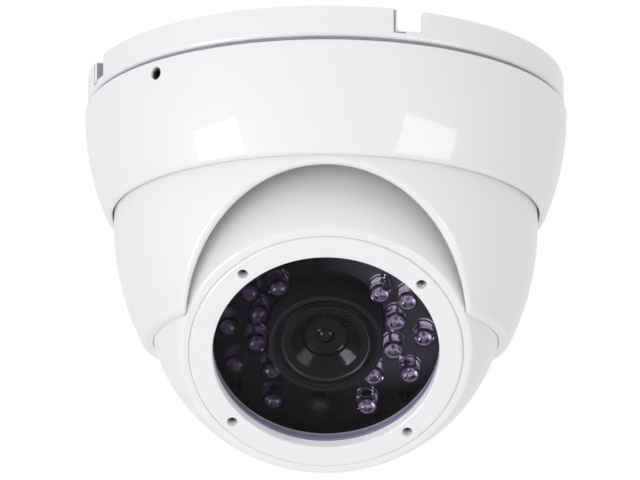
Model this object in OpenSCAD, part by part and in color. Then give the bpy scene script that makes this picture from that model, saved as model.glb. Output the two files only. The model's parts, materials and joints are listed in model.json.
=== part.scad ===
// Ceiling dome camera: a ball-shaped camera head that pans, tilts and rolls inside a hooded turret.
// Origin: centre of the mounting face on the ceiling. +Z up into the ceiling, the camera hangs below.
// The front of the camera, with the arch of its turret, faces -Y.

/* [Ball] */
// Diameter of the clear opening in the bezel
window_d = 55; // [55:1:70]
// Width of the bezel ring around the window
bezel_w = 5.7; // [5.2:0.1:8]
// Thickness of the bezel ring
bezel_t = 2.5; // [2:0.1:3]
// Width of the flat ball face that shows outside the bezel
face_rim = 1.8; // [1.4:0.1:4]
// Distance from the ball centre to its flat face
face_depth = 26.7; // [26:0.1:34]
// Wall of both halves of the ball
ball_wall = 2.4; // [2:0.1:3]
// Distance from the ball centre back to the joint between its halves
ball_split = 8; // [7:0.5:9]
// Angle of the lens axis below the horizontal at rest
tilt_rest = 48.5; // [30:0.5:80]
// Roll of the ball about its lens axis at rest
roll_rest = 4; // [-15:1:15]

/* [Window] */
// Thickness of the window glass
glass_t = 2; // [1.5:0.1:2.5]
// Width of glass held under the bezel
glass_lap = 0.8; // [0.5:0.1:1]
// Thickness of the seal behind the glass
gasket_t = 1; // [0.6:0.1:1.4]

/* [Lights] */
// Diameter of one infrared lamp
led_d = 5; // [3:0.5:5]
// Height of one infrared lamp above its board
led_h = 8.6; // [7:0.1:10.4]
// Angles of the inner lamps on each side, above the level
led_inner_angles = [44, 14, -14, -44];
// Angles of the outer lamps on each side, above the level
led_outer_angles = [0, -27, -61];
// Angle of the lamp that sits between the two rings
led_middle_angle = 28; // [24:1:32]
// Thickness of every circuit board
board_t = 1.6; // [1:0.2:2]

/* [Lens] */
// Outer diameter of the lens barrel
barrel_d = 23; // [19:0.2:24]
// Wall of the rubber hood between lens and window
hood_wall = 2.2; // [1.6:0.1:3]
// Height of the focus and zoom ring grips above the barrel
ring_grip = 2.5; // [1.5:0.1:3]
// Side of the square sensor board
sensor_board_w = 34; // [30:1:36]

/* [Turret] */
// Room between the ball and the turret wall at the tilt axis
ball_room = 3.7; // [3.7:0.1:8]
// Wall of the turret
turret_wall = 2.2; // [2:0.1:3]
// Radius of the arch in the front of the turret, as a share of the face radius
arch_share = 0.97; // [0.9:0.01:1]
// Distance from the ball centre down to the turret's open rim
rim_drop = 12.8; // [10:0.2:16]
// Running gap between the ball and the turret's rim
rim_gap = 0.4; // [0.3:0.05:1]

/* [Cover and base] */
// Height of the cover ring
cover_h = 27.8; // [26:0.2:36]
// Distance from the lower edge of the cover to the ball centre
ball_drop = 18.4; // [17:0.2:24]
// How far the cover stands out beyond its lower bore
cover_bulge = 7.25; // [7:0.05:9]
// Radius of the cover's curved side
cover_curve = 65; // [60:1:80]
// Gap between the turret and the bore of the cover
lip_gap = 0.45; // [0.3:0.05:0.8]
// Height of the base ring
base_h = 7.7; // [7:0.1:12]
// Wall of the base ring
base_wall = 3; // [2.5:0.1:4]
// Thickness of the base floor
base_floor = 2.2; // [2:0.1:4]
// Width of the dark seam between the base and the cover
seam = 0.7; // [0.5:0.1:1]
// Width of one cable notch
notch_w = 6.2; // [5:0.1:10]
// Diameter of one ceiling screw hole
mount_hole_d = 4.5; // [3.5:0.1:5.5]
// Diameter of the circle of the ceiling screws
mount_circle_d = 86; // [70:1:88]
// Diameter of the cable hole in the base
cable_hole_d = 16; // [12:1:20]

/* [Fits] */
// Gap between parts that turn flat against each other
flat_gap = 0.1; // [0.05:0.05:0.2]
// Radial gap of a pin or ring that turns
run_gap = 0.05; // [0.03:0.01:0.1]
// Radial gap of a screw in its hole
screw_gap = 0.1; // [0.05:0.05:0.2]
// Radial gap around parts that drop into a pocket
drop_gap = 0.2; // [0.1:0.05:0.3]

/* [Travel] */
// Greatest roll of the ball to each side
roll_travel = 90; // [30:5:90]

/* [Hidden] */
$fn = 96;
tiny = 0.01;                                     // keeps cuts clear of the faces they pass through
far = 200;                                       // longer than anything here

window_r = window_d / 2;
bezel_r = window_r + bezel_w;
face_r = bezel_r + face_rim;
ball_r = sqrt(pow(face_r, 2) + pow(face_depth, 2));
ball_in = ball_r - ball_wall;
face_z = -face_depth;                            // along the lens axis, rearwards positive

// window stack, from the face inwards
glass_z = face_z + bezel_t;
glass_r = window_r + glass_lap;
gasket_z = glass_z + glass_t;
gasket_w = 1.5;                                  // width of the flat seal
ledge_z = gasket_z + gasket_t;
bore_r = glass_r - gasket_w;                     // opening behind the glass
wall_z = ledge_z + 2.5;                          // inner side of the front wall
seam_gap = 0.18;                                 // thin line between bezel and ball
bezel_screw_r = 1.15;
bezel_screw_ring = window_r + 2.85;
bezel_screw_len = 5.8;
bezel_screw_sink = 1.2;

// lamp board
led_r = led_d / 2;
led_flange = 0.4;                                // how far the lamp's foot stands out
led_tip_gap = 0.7;                               // between the lamp tips and the glass
board_z = gasket_z + led_tip_gap + led_h;        // front of the lamp board
hood_r = barrel_d / 2 + hood_wall;
led_in_ring = hood_r + led_r + 1.1;
led_out_ring = window_r - led_r - 1.1;
board_hole_r = barrel_d / 2 + ring_grip + 0.8;
post_ring = window_r + 0.7;                      // circle of the posts behind the lamp board
post_w = 4.5;                                    // across the flats
stud_r = 1.2;
post_z = board_z + board_t;
board_r = post_ring + post_w / 2 + 0.5;
cell_ring = led_out_ring - 1.7;
cell_h = 4.6;

// lens
lens_z = gasket_z;                               // back of the glass
hood_len = 7;
hood_lip = 0.6;                                  // how far the hood's front lip covers the barrel
hood_gap = 0.1;
barrel_r = barrel_d / 2;
barrel_z = lens_z + 0.7;
barrel_in = barrel_r - 1.2;
neck_r = 7;                                      // rear neck of the lens
neck_len = 4;
cell_r = barrel_in - run_gap;                    // moving glass cells inside the barrel
ring_w = 4.5;                                    // width of the focus and zoom rings
focus_z = post_z + 0.3;
zoom_z = focus_z + ring_w + 1.2;
ring_r = barrel_r + ring_grip;
lever_r = 1.5;
lever_len = 5.6;
slide = 0.6;                                     // travel of the focus cell each way
zoom_slide = 1;                                  // travel of the zoom cell each way
lens_lip = 1.3;                                  // wall of the cells round the lenses
lug_w = 1.6;                                     // width of the guide lugs of the cells
barrel_floor = 1.5;
neck_in = neck_r - 1.2;
focus_guide_z = focus_z + ring_w / 2;
focus_cell_z = barrel_z + 2 * slide;
focus_cell_len = focus_guide_z + lug_w / 2 + 0.2 - focus_cell_z;
zoom_guide_z = zoom_z + ring_w / 2;
zoom_cell_len = 4;
zoom_cell_z = zoom_guide_z - zoom_cell_len / 2;
barrel_end = zoom_cell_z + zoom_cell_len + zoom_slide + 0.3 + barrel_floor;

// boards behind the lens
mount_z = barrel_end + 0.2;
plate_t = 1.2;
sensor_board_z = barrel_end + neck_len + 4.9;
plate_z = sensor_board_z - plate_t;
plate_r = post_ring + post_w / 2;
block_w = 20;
spacer_h = 6;
spacer_at = sensor_board_w / 2 - 2.6;
main_board_z = sensor_board_z + board_t + spacer_h;
back_room = 4.2;                                 // room for parts behind the main board
ball_rear = main_board_z + board_t + back_room + ball_wall;

// screws that join the ball halves
half_ring = ball_r - 9;
half_screw_r = 1.5;
half_head_r = 2.75;
half_boss_r = half_head_r + drop_gap + 1.1;
half_head_z = ball_split + 6;
half_screw_len = 13;

// neck and roll bearing at the back of the ball
boss_r = 13;
boss_h = 3.2;
tube_r = 8;
tube_bore = 5.5;
washer_t = 0.6;
yoke_z = ball_rear + boss_h + washer_t + flat_gap;
yoke_t = 1.2;
yoke_disc = 20.5;
nut_z = yoke_z + yoke_t + flat_gap + washer_t;
nut_h = 3;
nut_r = 11.5;
tube_z = nut_z + nut_h + 0.4;
stop_ring = 17;
stop_r = 1.2;
slot_r = stop_r + drop_gap;

// tilt yoke, ears and pins
yoke_in = ball_r + 0.4;
yoke_out = yoke_in + yoke_t;
yoke_w = 12;
pin_r = 2.5;
bush_r = 3.5;
ear_in = yoke_out + 0.2;
ear_t = 1.2;
ear_out = ear_in + ear_t;
ear_w = 10.4;
clip_in = ear_out + flat_gap;
clip_t = 0.5;
clip_r = 3.6;
pin_end = clip_in + clip_t;
pocket_gap = 0.25;                               // room round the ears and the ends of the pins

// heights, downwards negative
floor_z = -(base_h - base_floor);                // upper side of the base floor
base_z = -base_h;
cover_z = base_z - seam;
lip_z = cover_z - cover_h;
ball_z = lip_z - ball_drop;
rim_z = ball_z - rim_drop;

// turret outline
turret_mid = ball_r + ball_room + turret_wall;   // outer radius at the tilt axis
turret_r = turret_mid + 2.35;                    // outer radius at the lip of the cover
rim_in = sqrt(pow(ball_r + rim_gap, 2) - pow(rim_drop, 2));
rim_wall = 2.5;
rim_out = rim_in + rim_wall;
// the outer side is an arc through three points: lip, tilt axis and rim
function arc_centre(p, q, s) =
    let (a = p - q, b = q - s,
         c = (pow(norm(p), 2) - pow(norm(q), 2)) / 2,
         d = (pow(norm(q), 2) - pow(norm(s), 2)) / 2,
         k = a[0] * b[1] - a[1] * b[0])
    [(c * b[1] - a[1] * d) / k, (a[0] * d - c * b[0]) / k];
arc_top = [turret_r, lip_z];
turret_arc = arc_centre(arc_top, [turret_mid, ball_z], [rim_out, rim_z]);
turret_curve = norm(arc_top - turret_arc);
arch_r = face_r * arch_share;
arch_z = lip_z - 1.1 - arch_r;                   // the arch stops just under the cover
shelf_z = cover_z - 17.1;                        // step in the cover that carries the turret
slip_t = 0.6;
flange_t = 2.2;
flange_z = shelf_z + slip_t + flat_gap;
flange_top = flange_z + flange_t;
bore_lip = turret_r + lip_gap;
flange_r = bore_lip + 2.1;
friction_t = 1.9;
collar_end = flange_top + flat_gap + friction_t;
collar_out = flange_r - 0.9;
collar_in = collar_out - 3.5;
friction_in = collar_in + 0.4;
friction_out = collar_out + 0.3;

// cover outline
cover_r = bore_lip + cover_bulge;
cover_arc = [cover_r - cover_curve, cover_z];
shelf_bore = flange_r + 0.35;                    // room for the flange above the step
cover_in = cover_r - 3.4;
base_r = cover_r - 0.6;
edge = 0.5;                                      // small chamfer on outer edges
lug_t = 3;
lug_gap = 0.2;
lug_arc = 24;
lug_angles = [20, 140, 260];
cover_lug_z = cover_z - 1.5;
base_lug_z = cover_lug_z - lug_t - lug_gap;
cover_lug_r = collar_out + 0.4;
base_lug_r = cover_in - 0.4;
lock_angle = -43.1;
lock_z = cover_z - 3.5;
lock_r = 1.5;
lock_boss_w = 9;
lock_boss_h = 5.6;
lock_sink = 0.8;
seal_in = cover_in + 0.3;
seal_out = cover_r - 1.2;

// pan frame inside the turret
frame_z = flange_top - 1.4;
frame_t = 1.2;
turret_top_in = turret_r - turret_wall;          // straight bore of the turret's upper part
frame_out = turret_top_in - 0.5;
frame_in = ear_in - 3.1;
frame_screw_ring = frame_out - 2.9;
frame_screw_r = 1.25;
lug_h = 7;
pan_stop_ring = frame_out - 2.4;
pan_stop_r = 1.6;
pan_stop_end = frame_z + frame_t + 1.3;
stop_lug_h = pan_stop_end - frame_z - frame_t + 3.5;

// base details
notch_deep = 5.3;
notch_angle = 19.7;
base_boss_r = 5;
cable_at = 30;
cable_bore_r = 4;
grommet_lap = 2;
grommet_t = 1.2;

// ---------------------------------------------------------------- placing

// Turns a piece about the vertical axis; angle 0 is the front, positive towards +X
module around(angle) {
    rotate([0, 0, angle - 90]) children();
}

// From the yoke's own frame, lens axis along -Z and tilt axis along X, to its place
module in_yoke() {
    translate([0, 0, ball_z]) rotate([tilt_rest - 90, 0, 0]) children();
}

// From the ball's own frame to its place
module in_ball() {
    in_yoke() rotate([0, 0, roll_rest]) children();
}

module at_ring(radius, angle, z = 0) {
    rotate([0, 0, angle]) translate([radius, 0, z]) children();
}

// A flat ring or tube
module ring(outer, inner, z, height) {
    translate([0, 0, z]) difference() {
        cylinder(r = outer, h = height);
        translate([0, 0, -tiny]) cylinder(r = inner, h = height + 2 * tiny);
    }
}

module rod(radius, z, height) {
    translate([0, 0, z]) cylinder(r = radius, h = height);
}

module rod_at(place, radius, z, height) {
    translate([place, 0, z]) cylinder(r = radius, h = height);
}

// A piece of a ring, height upwards from z, centred on its angle
module ring_piece(outer, inner, z, height, width) {
    difference() {
        ring(outer, inner, z, height);
        rotate([0, 0, width / 2]) translate([-far, 0, z - tiny]) cube([2 * far, far, height + 1]);
        rotate([0, 0, -width / 2]) translate([-far, -far, z - tiny]) cube([2 * far, far, height + 1]);
    }
}

// A bar along X, both ways from the middle
module along_x(radius, from, to) {
    translate([from, 0, 0]) rotate([0, 90, 0]) cylinder(r = radius, h = to - from);
}

module both_sides() {
    children();
    mirror([1, 0, 0]) children();
}

// Screw along +Z from its head at z = 0: head, shank downwards, hexagon socket
module screw(shank_r, length, head_r, head_h, socket_r) {
    difference() {
        union() {
            rod(head_r, 0, head_h);
            rod(shank_r, -length, length + tiny);
        }
        translate([0, 0, head_h * 0.4]) cylinder(r = socket_r, h = head_h, $fn = 6);
    }
}

// ---------------------------------------------------------------- base

module mount_base() {
    color("gainsboro") difference() {
        union() {
            rotate_extrude() polygon([
                [cable_hole_d, floor_z], [base_r - base_wall, floor_z], [base_r - base_wall, 0],
                [base_r - edge, 0], [base_r, -edge], [base_r, base_z + edge],
                [base_r - edge, base_z], [collar_out, base_z], [collar_out, collar_end],
                [collar_in, collar_end], [collar_in, base_z], [cable_hole_d, base_z]]);
            rod(cable_hole_d + 1, base_z, base_floor);
            for (k = [0:3]) around(45 + 90 * k) rod_at(mount_circle_d / 2, base_boss_r, base_z, base_h);
            for (a = lug_angles) around(a)
                ring_piece(base_lug_r, collar_in + 1, base_lug_z - lug_t, lug_t, lug_arc);
        }
        for (k = [0:3]) around(45 + 90 * k)
            rod_at(mount_circle_d / 2, mount_hole_d / 2, base_z - tiny, base_h + 1);
        for (k = [0:3]) around(notch_angle + 90 * k)
            translate([base_r - base_wall - 1, -notch_w / 2, -notch_deep])
                cube([base_wall + 2, notch_w, notch_deep + 1]);
        around(180) rod_at(cable_at, cable_hole_d / 2, base_z - tiny, base_h);
        around(0) rod_at(pan_stop_ring, pan_stop_r + screw_gap, base_z - tiny, base_h);
        around(lock_angle) translate([0, 0, lock_z])
            along_x(lock_r + screw_gap, collar_out - 0.5, base_r);
    }
}

module cable_grommet() {
    color("dimgray") around(180) translate([cable_at, 0, 0]) rotate_extrude() polygon([
        [cable_bore_r, base_z - grommet_t], [cable_hole_d / 2 + grommet_lap - 0.6, base_z - grommet_t],
        [cable_hole_d / 2 + grommet_lap, base_z - 0.6], [cable_hole_d / 2 + grommet_lap, base_z],
        [cable_hole_d / 2 - drop_gap, base_z], [cable_hole_d / 2 - drop_gap, floor_z],
        [cable_hole_d / 2 + grommet_lap, floor_z],
        [cable_hole_d / 2 + grommet_lap, floor_z + 0.6],
        [cable_hole_d / 2 + grommet_lap - 0.6, floor_z + grommet_t], [cable_bore_r, floor_z + grommet_t]]);
}

module base_seal() {
    color("black") ring(seal_out, seal_in, cover_z, seam);
}

module pan_stop_pin() {
    color("silver") around(0) {
        rod_at(pan_stop_ring, pan_stop_r, pan_stop_end, base_z + base_floor - pan_stop_end);
    }
}

// ---------------------------------------------------------------- cover

module cover_outline() {
    difference() {
        intersection() {
            translate(cover_arc) circle(r = cover_curve, $fn = 180);
            polygon([[bore_lip, lip_z], [bore_lip + 0.3, lip_z], [bore_lip + 1.3, lip_z + 1],
                [cover_r, lip_z + 4], [cover_r, cover_z - edge], [cover_r - edge, cover_z],
                [bore_lip, cover_z]]);
        }
        // room for the flange and the collar, open at the top
        polygon([[0, shelf_z], [shelf_bore, shelf_z], [shelf_bore, shelf_z + 4.6],
            [cover_in, shelf_z + 9], [cover_in, cover_z + 1], [0, cover_z + 1]]);
    }
}

module cover_ring() {
    color("white") difference() {
        union() {
            rotate_extrude($fn = 180) cover_outline();
            for (a = lug_angles) around(a)
                ring_piece(cover_in + 1, cover_lug_r, cover_lug_z - lug_t, lug_t, lug_arc);
            around(lock_angle) translate([cover_lug_r, -lock_boss_w / 2, lock_z - lock_boss_h / 2])
                cube([cover_in - cover_lug_r + 1, lock_boss_w, lock_boss_h]);
        }
        around(lock_angle) translate([0, 0, lock_z]) along_x(lock_r + screw_gap, collar_out, cover_r + 1);
    }
}

module cover_lock_screw() {
    outer = cover_r - lock_sink;
    color("black") around(lock_angle) translate([0, 0, lock_z]) difference() {
        along_x(lock_r, collar_out - 0.4, outer);
        translate([outer - 1.8, 0, 0]) rotate([0, 90, 0]) cylinder(r = lock_r * 0.58, h = 3, $fn = 6);
    }
}

module pan_slip_ring() {
    color("ivory") ring(flange_r, bore_lip + 0.2, shelf_z, slip_t);
}

module pan_friction_ring() {
    color("dimgray") ring(friction_out, friction_in, collar_end - friction_t, friction_t);
}

// ---------------------------------------------------------------- turret

// The turret's side: an arc outside, an even wall, and a straight neck that carries the flange
module turret_outline() {
    difference() {
        intersection() {
            translate(turret_arc) circle(r = turret_curve, $fn = 180);
            polygon([[1, rim_z], [rim_out - edge, rim_z], [rim_out + 5, rim_z + 5 + edge],
                [turret_r + 5, rim_z + 5 + edge], [turret_r + 5, lip_z], [1, lip_z]]);
        }
        translate(turret_arc) circle(r = turret_curve - turret_wall, $fn = 180);
    }
    polygon([[turret_top_in, lip_z - tiny], [turret_r, lip_z - tiny], [turret_r, flange_z],
        [flange_r, flange_z], [flange_r, flange_top], [turret_top_in, flange_top]]);
}

module turret_shell() {
    color("white") difference() {
        union() {
            rotate_extrude($fn = 180) turret_outline();
            for (k = [0:3]) around(45 + 90 * k)
                translate([frame_screw_ring - 2.8, -3.5, frame_z - lug_h])
                    cube([turret_top_in - frame_screw_ring + 3.2, 7, lug_h]);
        }
        // arch for the ball's face
        translate([0, 0, arch_z]) rotate([90, 0, 0]) cylinder(r = arch_r, h = far, $fn = 180);
        // pockets for the ears and the ends of the tilt pins
        translate([0, 0, ball_z]) {
            along_x(ear_w / 2 + pocket_gap, -ear_out - pocket_gap, ear_out + pocket_gap);
            along_x(clip_r + pocket_gap, -pin_end - pocket_gap, pin_end + pocket_gap);
            sphere(r = ball_r + rim_gap);
        }
        for (k = [0:3]) around(45 + 90 * k)
            rod_at(frame_screw_ring, frame_screw_r + screw_gap, frame_z - 5, 6);
    }
}

module pan_frame() {
    color("silver") difference() {
        union() {
            ring(frame_out, frame_in, frame_z, frame_t);
            both_sides() {
                translate([ear_in, -ear_w / 2, ball_z]) cube([ear_t, ear_w, frame_z + frame_t - ball_z]);
                translate([0, 0, ball_z]) along_x(ear_w / 2, ear_in, ear_out);
            }
            around(180) translate([pan_stop_ring - pan_stop_r, -1.5, frame_z])
                cube([2 * pan_stop_r, 3, frame_t + stop_lug_h]);
        }
        translate([0, 0, ball_z]) along_x(bush_r, -far, far);
        for (k = [0:3]) around(45 + 90 * k)
            rod_at(frame_screw_ring, frame_screw_r + screw_gap, frame_z - 1, 4);
    }
}

module pan_frame_screws() {
    color("dimgray") for (k = [0:3]) around(45 + 90 * k)
        translate([frame_screw_ring, 0, frame_z + frame_t]) screw(frame_screw_r, 5.5, 2.3, 1.4, 0.8);
}

module tilt_bushes() {
    color("ivory") translate([0, 0, ball_z]) both_sides() difference() {
        along_x(bush_r, ear_in, ear_out);
        along_x(pin_r + run_gap, ear_in - 1, ear_out + 1);
    }
}

// ---------------------------------------------------------------- tilt yoke

module tilt_yoke() {
    color("silver") in_yoke() difference() {
        union() {
            intersection() {
                difference() {
                    sphere(r = yoke_out);
                    sphere(r = yoke_in);
                }
                union() {
                    along_x(yoke_w / 2 + 0.5, -far, far);
                    translate([-far, -yoke_w / 2, 0]) cube([2 * far, yoke_w, yoke_z + yoke_t]);
                }
            }
            intersection() {
                sphere(r = yoke_out - 0.2);
                translate([-far, -yoke_w / 2, yoke_z]) cube([2 * far, yoke_w, yoke_t]);
            }
            rod(yoke_disc, yoke_z, yoke_t);
        }
        rod(tube_r + run_gap, yoke_z - 1, yoke_t + 2);
        along_x(pin_r, -far, far);
        // curved slot with round ends that stops the roll
        rotate([0, 0, 90]) {
            ring_piece(stop_ring + slot_r, stop_ring - slot_r, yoke_z - 1, yoke_t + 2, 2 * roll_travel);
            for (end = [-roll_travel, roll_travel]) at_ring(stop_ring, end)
                rod(slot_r, yoke_z - 1, yoke_t + 2);
        }
    }
}

module tilt_pins() {
    color("dimgray") in_yoke() both_sides() along_x(pin_r, yoke_in + run_gap, pin_end);
}

module tilt_pin_clips() {
    color("silver") in_yoke() both_sides() difference() {
        along_x(clip_r, clip_in, clip_in + clip_t);
        along_x(pin_r, clip_in - 1, clip_in + clip_t + 1);
    }
}

// ---------------------------------------------------------------- ball

// The four screw columns that join the halves, between two heights
module half_columns(from, to) {
    for (k = [0:3]) at_ring(half_ring, 90 * k) {
        rod(half_boss_r, from, to - from);
        translate([0, -1.5, from]) cube([ball_r - half_ring, 3, to - from]);
    }
}

module ball_front() {
    color("white") in_ball() difference() {
        union() {
            difference() {
                sphere(r = ball_r, $fn = 180);
                sphere(r = ball_in);
                rod(far, ball_split, far);
            }
            intersection() {
                sphere(r = ball_r - 1, $fn = 180);
                union() {
                    rod(ball_r, face_z, wall_z - face_z);
                    half_columns(ball_split - 10, ball_split);
                }
            }
            for (k = [0:3]) at_ring(post_ring, 45 + 90 * k)
                rod(post_w / 2 + 0.35, wall_z - 1, board_z - wall_z + 1);
        }
        translate([0, 0, face_z - far]) cylinder(r = far, h = far);
        // small chamfer round the flat face
        translate([0, 0, face_z - tiny]) difference() {
            cylinder(r = far / 2, h = 0.8);
            translate([0, 0, -tiny]) cylinder(r1 = face_r - 1, r2 = face_r + 0.9, h = 0.9);
        }
        rod(bezel_r + seam_gap, face_z - 1, bezel_t + 1);
        rod(glass_r + drop_gap, face_z, ledge_z - face_z);
        rod(bore_r, face_z, wall_z - face_z + 1);
        for (k = [0:3]) {
            at_ring(bezel_screw_ring, 45 + 90 * k) rod(bezel_screw_r + tiny, face_z, bezel_screw_len + 1.5);
            at_ring(post_ring, 45 + 90 * k) rod(stud_r + run_gap, board_z - 3.5, 4);
            at_ring(half_ring, 90 * k) rod(half_screw_r + run_gap, ball_split - 8, 9);
        }
        ring(ball_r - 1.4, ball_r - 2.8 + 0.05, ball_split - 0.8, 1);
    }
}

module ball_rear_shell() {
    color("white") in_ball() difference() {
        union() {
            difference() {
                intersection() {
                    sphere(r = ball_r, $fn = 180);
                    rod(ball_r, ball_split, ball_rear - ball_split);
                }
                intersection() {
                    sphere(r = ball_in);
                    rod(ball_r, ball_split - 1, ball_rear - ball_wall - ball_split + 1);
                }
            }
            intersection() {
                sphere(r = ball_r - 1, $fn = 180);
                half_columns(ball_split, ball_rear);
            }
            rod(boss_r, ball_rear - 1, boss_h + 1);
            rod(tube_r, ball_rear - 1, tube_z - ball_rear + 1);
        }
        rod(tube_bore, ball_rear - ball_wall - 1, far);
        for (k = [0:3]) at_ring(half_ring, 90 * k) {
            rod(half_screw_r + screw_gap, ball_split - 1, far);
            rod(half_head_r + drop_gap, half_head_z, far);
        }
        at_ring(stop_ring, 90) rod(stop_r, ball_rear - ball_wall - 1, far);
    }
}

module ball_seal() {
    color("dimgray") in_ball() ring(ball_r - 1.45, ball_r - 2.8 + 0.1, ball_split - 0.8, 0.8);
}

module ball_screws() {
    color("silver") in_ball() for (k = [0:3]) at_ring(half_ring, 90 * k)
        translate([0, 0, half_head_z]) screw(half_screw_r, half_screw_len, half_head_r, 2.4, 1.4);
}

module roll_washers() {
    color("ivory") in_ball() {
        ring(boss_r, tube_r + run_gap, ball_rear + boss_h, washer_t);
        ring(nut_r, tube_r + run_gap, nut_z - washer_t, washer_t);
    }
}

module neck_nut() {
    color("goldenrod") in_ball() difference() {
        rod(nut_r, nut_z, nut_h);
        rod(tube_r, nut_z - 1, nut_h + 2);
        for (k = [0:3]) rotate([0, 0, 45 + 90 * k])
            translate([nut_r - 1.4, -1.2, nut_z - 1]) cube([3, 2.4, nut_h + 2]);
    }
}

module roll_stop_pin() {
    color("silver") in_ball() at_ring(stop_ring, 90)
        rod(stop_r, ball_rear - ball_wall, yoke_z + yoke_t - ball_rear + ball_wall);
}

module neck_plug() {
    color("dimgray") in_ball() difference() {
        rod(tube_bore, tube_z - 4, 4);
        rod(2.2, tube_z - 5, 6);
    }
}

// ---------------------------------------------------------------- window

module bezel_ring() {
    color("white") in_ball() difference() {
        rotate_extrude($fn = 180) polygon([
            [window_r, glass_z], [window_r, face_z + 0.4], [window_r + 0.4, face_z],
            [bezel_r - 0.3, face_z], [bezel_r, face_z + 0.3], [bezel_r, glass_z]]);
        for (k = [0:3]) at_ring(bezel_screw_ring, 45 + 90 * k)
            rod(bezel_screw_r + screw_gap, face_z - 1, bezel_t + 2);
    }
}

module bezel_screws() {
    color("dimgray") in_ball() for (k = [0:3]) at_ring(bezel_screw_ring, 45 + 90 * k) difference() {
        rod(bezel_screw_r, face_z + bezel_screw_sink, bezel_screw_len);
        translate([0, 0, face_z + bezel_screw_sink - 1]) cylinder(r = bezel_screw_r * 0.55, h = 2.4, $fn = 6);
    }
}

module window_glass() {
    color([0.3, 0.25, 0.4, 0.6]) in_ball() rod(glass_r, glass_z, glass_t);
}

module window_gasket() {
    color("black") in_ball() ring(glass_r, bore_r, gasket_z, gasket_t);
}

// ---------------------------------------------------------------- lamps

// Places a copy at every lamp, on both sides of the lens
module at_lamps() {
    both_sides() {
        for (a = led_inner_angles) at_ring(led_in_ring, -a) children();
        for (a = led_outer_angles) at_ring(led_out_ring, -a) children();
        at_ring(led_out_ring - led_r + 0.3, -led_middle_angle) children();
    }
}

module led_board() {
    color("darkgreen") in_ball() difference() {
        ring(board_r, board_hole_r, board_z, board_t);
        for (k = [0:3]) at_ring(post_ring, 45 + 90 * k) rod(stud_r + screw_gap, board_z - 1, board_t + 2);
    }
}

module ir_leds() {
    color([0.85, 0.8, 0.95]) in_ball() at_lamps() translate([0, 0, board_z]) mirror([0, 0, 1])
        rotate_extrude($fn = 48) union() {
            intersection() {
                square([led_r, led_h]);
                translate([0, led_h - led_r - 0.2]) circle(r = led_r + 0.2, $fn = 48);
            }
            square([led_r, led_h - led_r]);
            square([led_r + led_flange, 1]);
        }
}

module light_sensor() {
    color("firebrick") in_ball() at_ring(cell_ring, 90) {
        rod(led_r, board_z - cell_h, 1.6);
        rod(led_r - 0.5, board_z - cell_h + 1.5, cell_h - 1.5);
    }
}

module board_posts() {
    color("goldenrod") in_ball() for (k = [0:3]) at_ring(post_ring, 45 + 90 * k) difference() {
        union() {
            translate([0, 0, post_z]) cylinder(d = post_w / cos(30), h = plate_z - post_z, $fn = 6);
            rod(stud_r, board_z - 3.2, post_z - board_z + 3.3);
        }
        rod(stud_r + run_gap, plate_z - 6, 7);
    }
}

module module_plate() {
    color("silver") in_ball() difference() {
        rod(plate_r, plate_z, plate_t);
        translate([0, 0, plate_z]) cube([block_w + 1, block_w + 1, 3 * plate_t], center = true);
        for (k = [0:3]) {
            at_ring(half_ring, 90 * k) rod(half_boss_r + drop_gap, plate_z - 1, plate_t + 2);
            at_ring(post_ring, 45 + 90 * k) rod(stud_r + screw_gap, plate_z - 1, plate_t + 2);
            rotate([0, 0, 90 * k]) translate([spacer_at, spacer_at, 0])
                rod(stud_r + screw_gap, plate_z - 1, plate_t + 2);
        }
    }
}

module plate_screws() {
    color("dimgray") in_ball() for (k = [0:3]) at_ring(post_ring, 45 + 90 * k)
        translate([0, 0, plate_z + plate_t]) screw(stud_r, plate_t + 4.5, 2.1, 1.4, 0.8);
}

// ---------------------------------------------------------------- lens

module lens_hood() {
    front = lens_z + hood_gap;
    color("black") in_ball() rotate_extrude() polygon([
        [barrel_r - hood_lip, front], [hood_r - 0.3, front], [hood_r, front + 0.3],
        [hood_r, front + hood_len], [barrel_r, front + hood_len], [barrel_r, barrel_z],
        [barrel_r - hood_lip, barrel_z]]);
}

module lens_barrel() {
    color("black") in_ball() difference() {
        rotate_extrude() polygon([
            [barrel_in, barrel_z], [barrel_r, barrel_z], [barrel_r, barrel_end], [neck_r, barrel_end],
            [neck_r, barrel_end + neck_len], [neck_in, barrel_end + neck_len],
            [neck_in, barrel_end - barrel_floor], [barrel_in, barrel_end - barrel_floor]]);
        // slots for the guide lugs of the two cells
        guide_slot(focus_guide_z, 0, slide);
        guide_slot(zoom_guide_z, 180, zoom_slide);
    }
}

module guide_slot(z, angle, travel) {
    reach = travel + lug_w / 2 + run_gap;
    rotate([0, 0, angle]) translate([barrel_in - 1, -lug_w / 2 - run_gap, z - reach])
        cube([3, lug_w + 2 * run_gap, 2 * reach]);
}

// A cell that slides in the barrel, kept from turning by its guide lug
module lens_cell(z, length, bore, guide_z, angle) {
    difference() {
        union() {
            rod(cell_r, z, length);
            rotate([0, 0, angle]) translate([bore, -lug_w / 2, guide_z - lug_w / 2])
                cube([barrel_r - 2 * run_gap - bore, lug_w, lug_w]);
        }
        rod(bore, z - 1, length + 2);
    }
}

// A ring that turns on the barrel, with a grooved grip and a hole for its lever
module lens_ring(z, lever_angle) {
    difference() {
        union() {
            ring(ring_r - 0.5, barrel_r + run_gap, z, ring_w);
            ring(ring_r, ring_r - 1, z + 0.8, ring_w - 1.6);
        }
        for (k = [1:23]) rotate([0, 0, lever_angle + 15 * k])
            translate([ring_r - 0.3, -0.4, z + 0.4]) cube([1, 0.8, ring_w - 0.8]);
        rotate([0, 0, lever_angle]) translate([0, 0, z + ring_w / 2]) along_x(0.9, barrel_r, ring_r + 1);
    }
}

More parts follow.
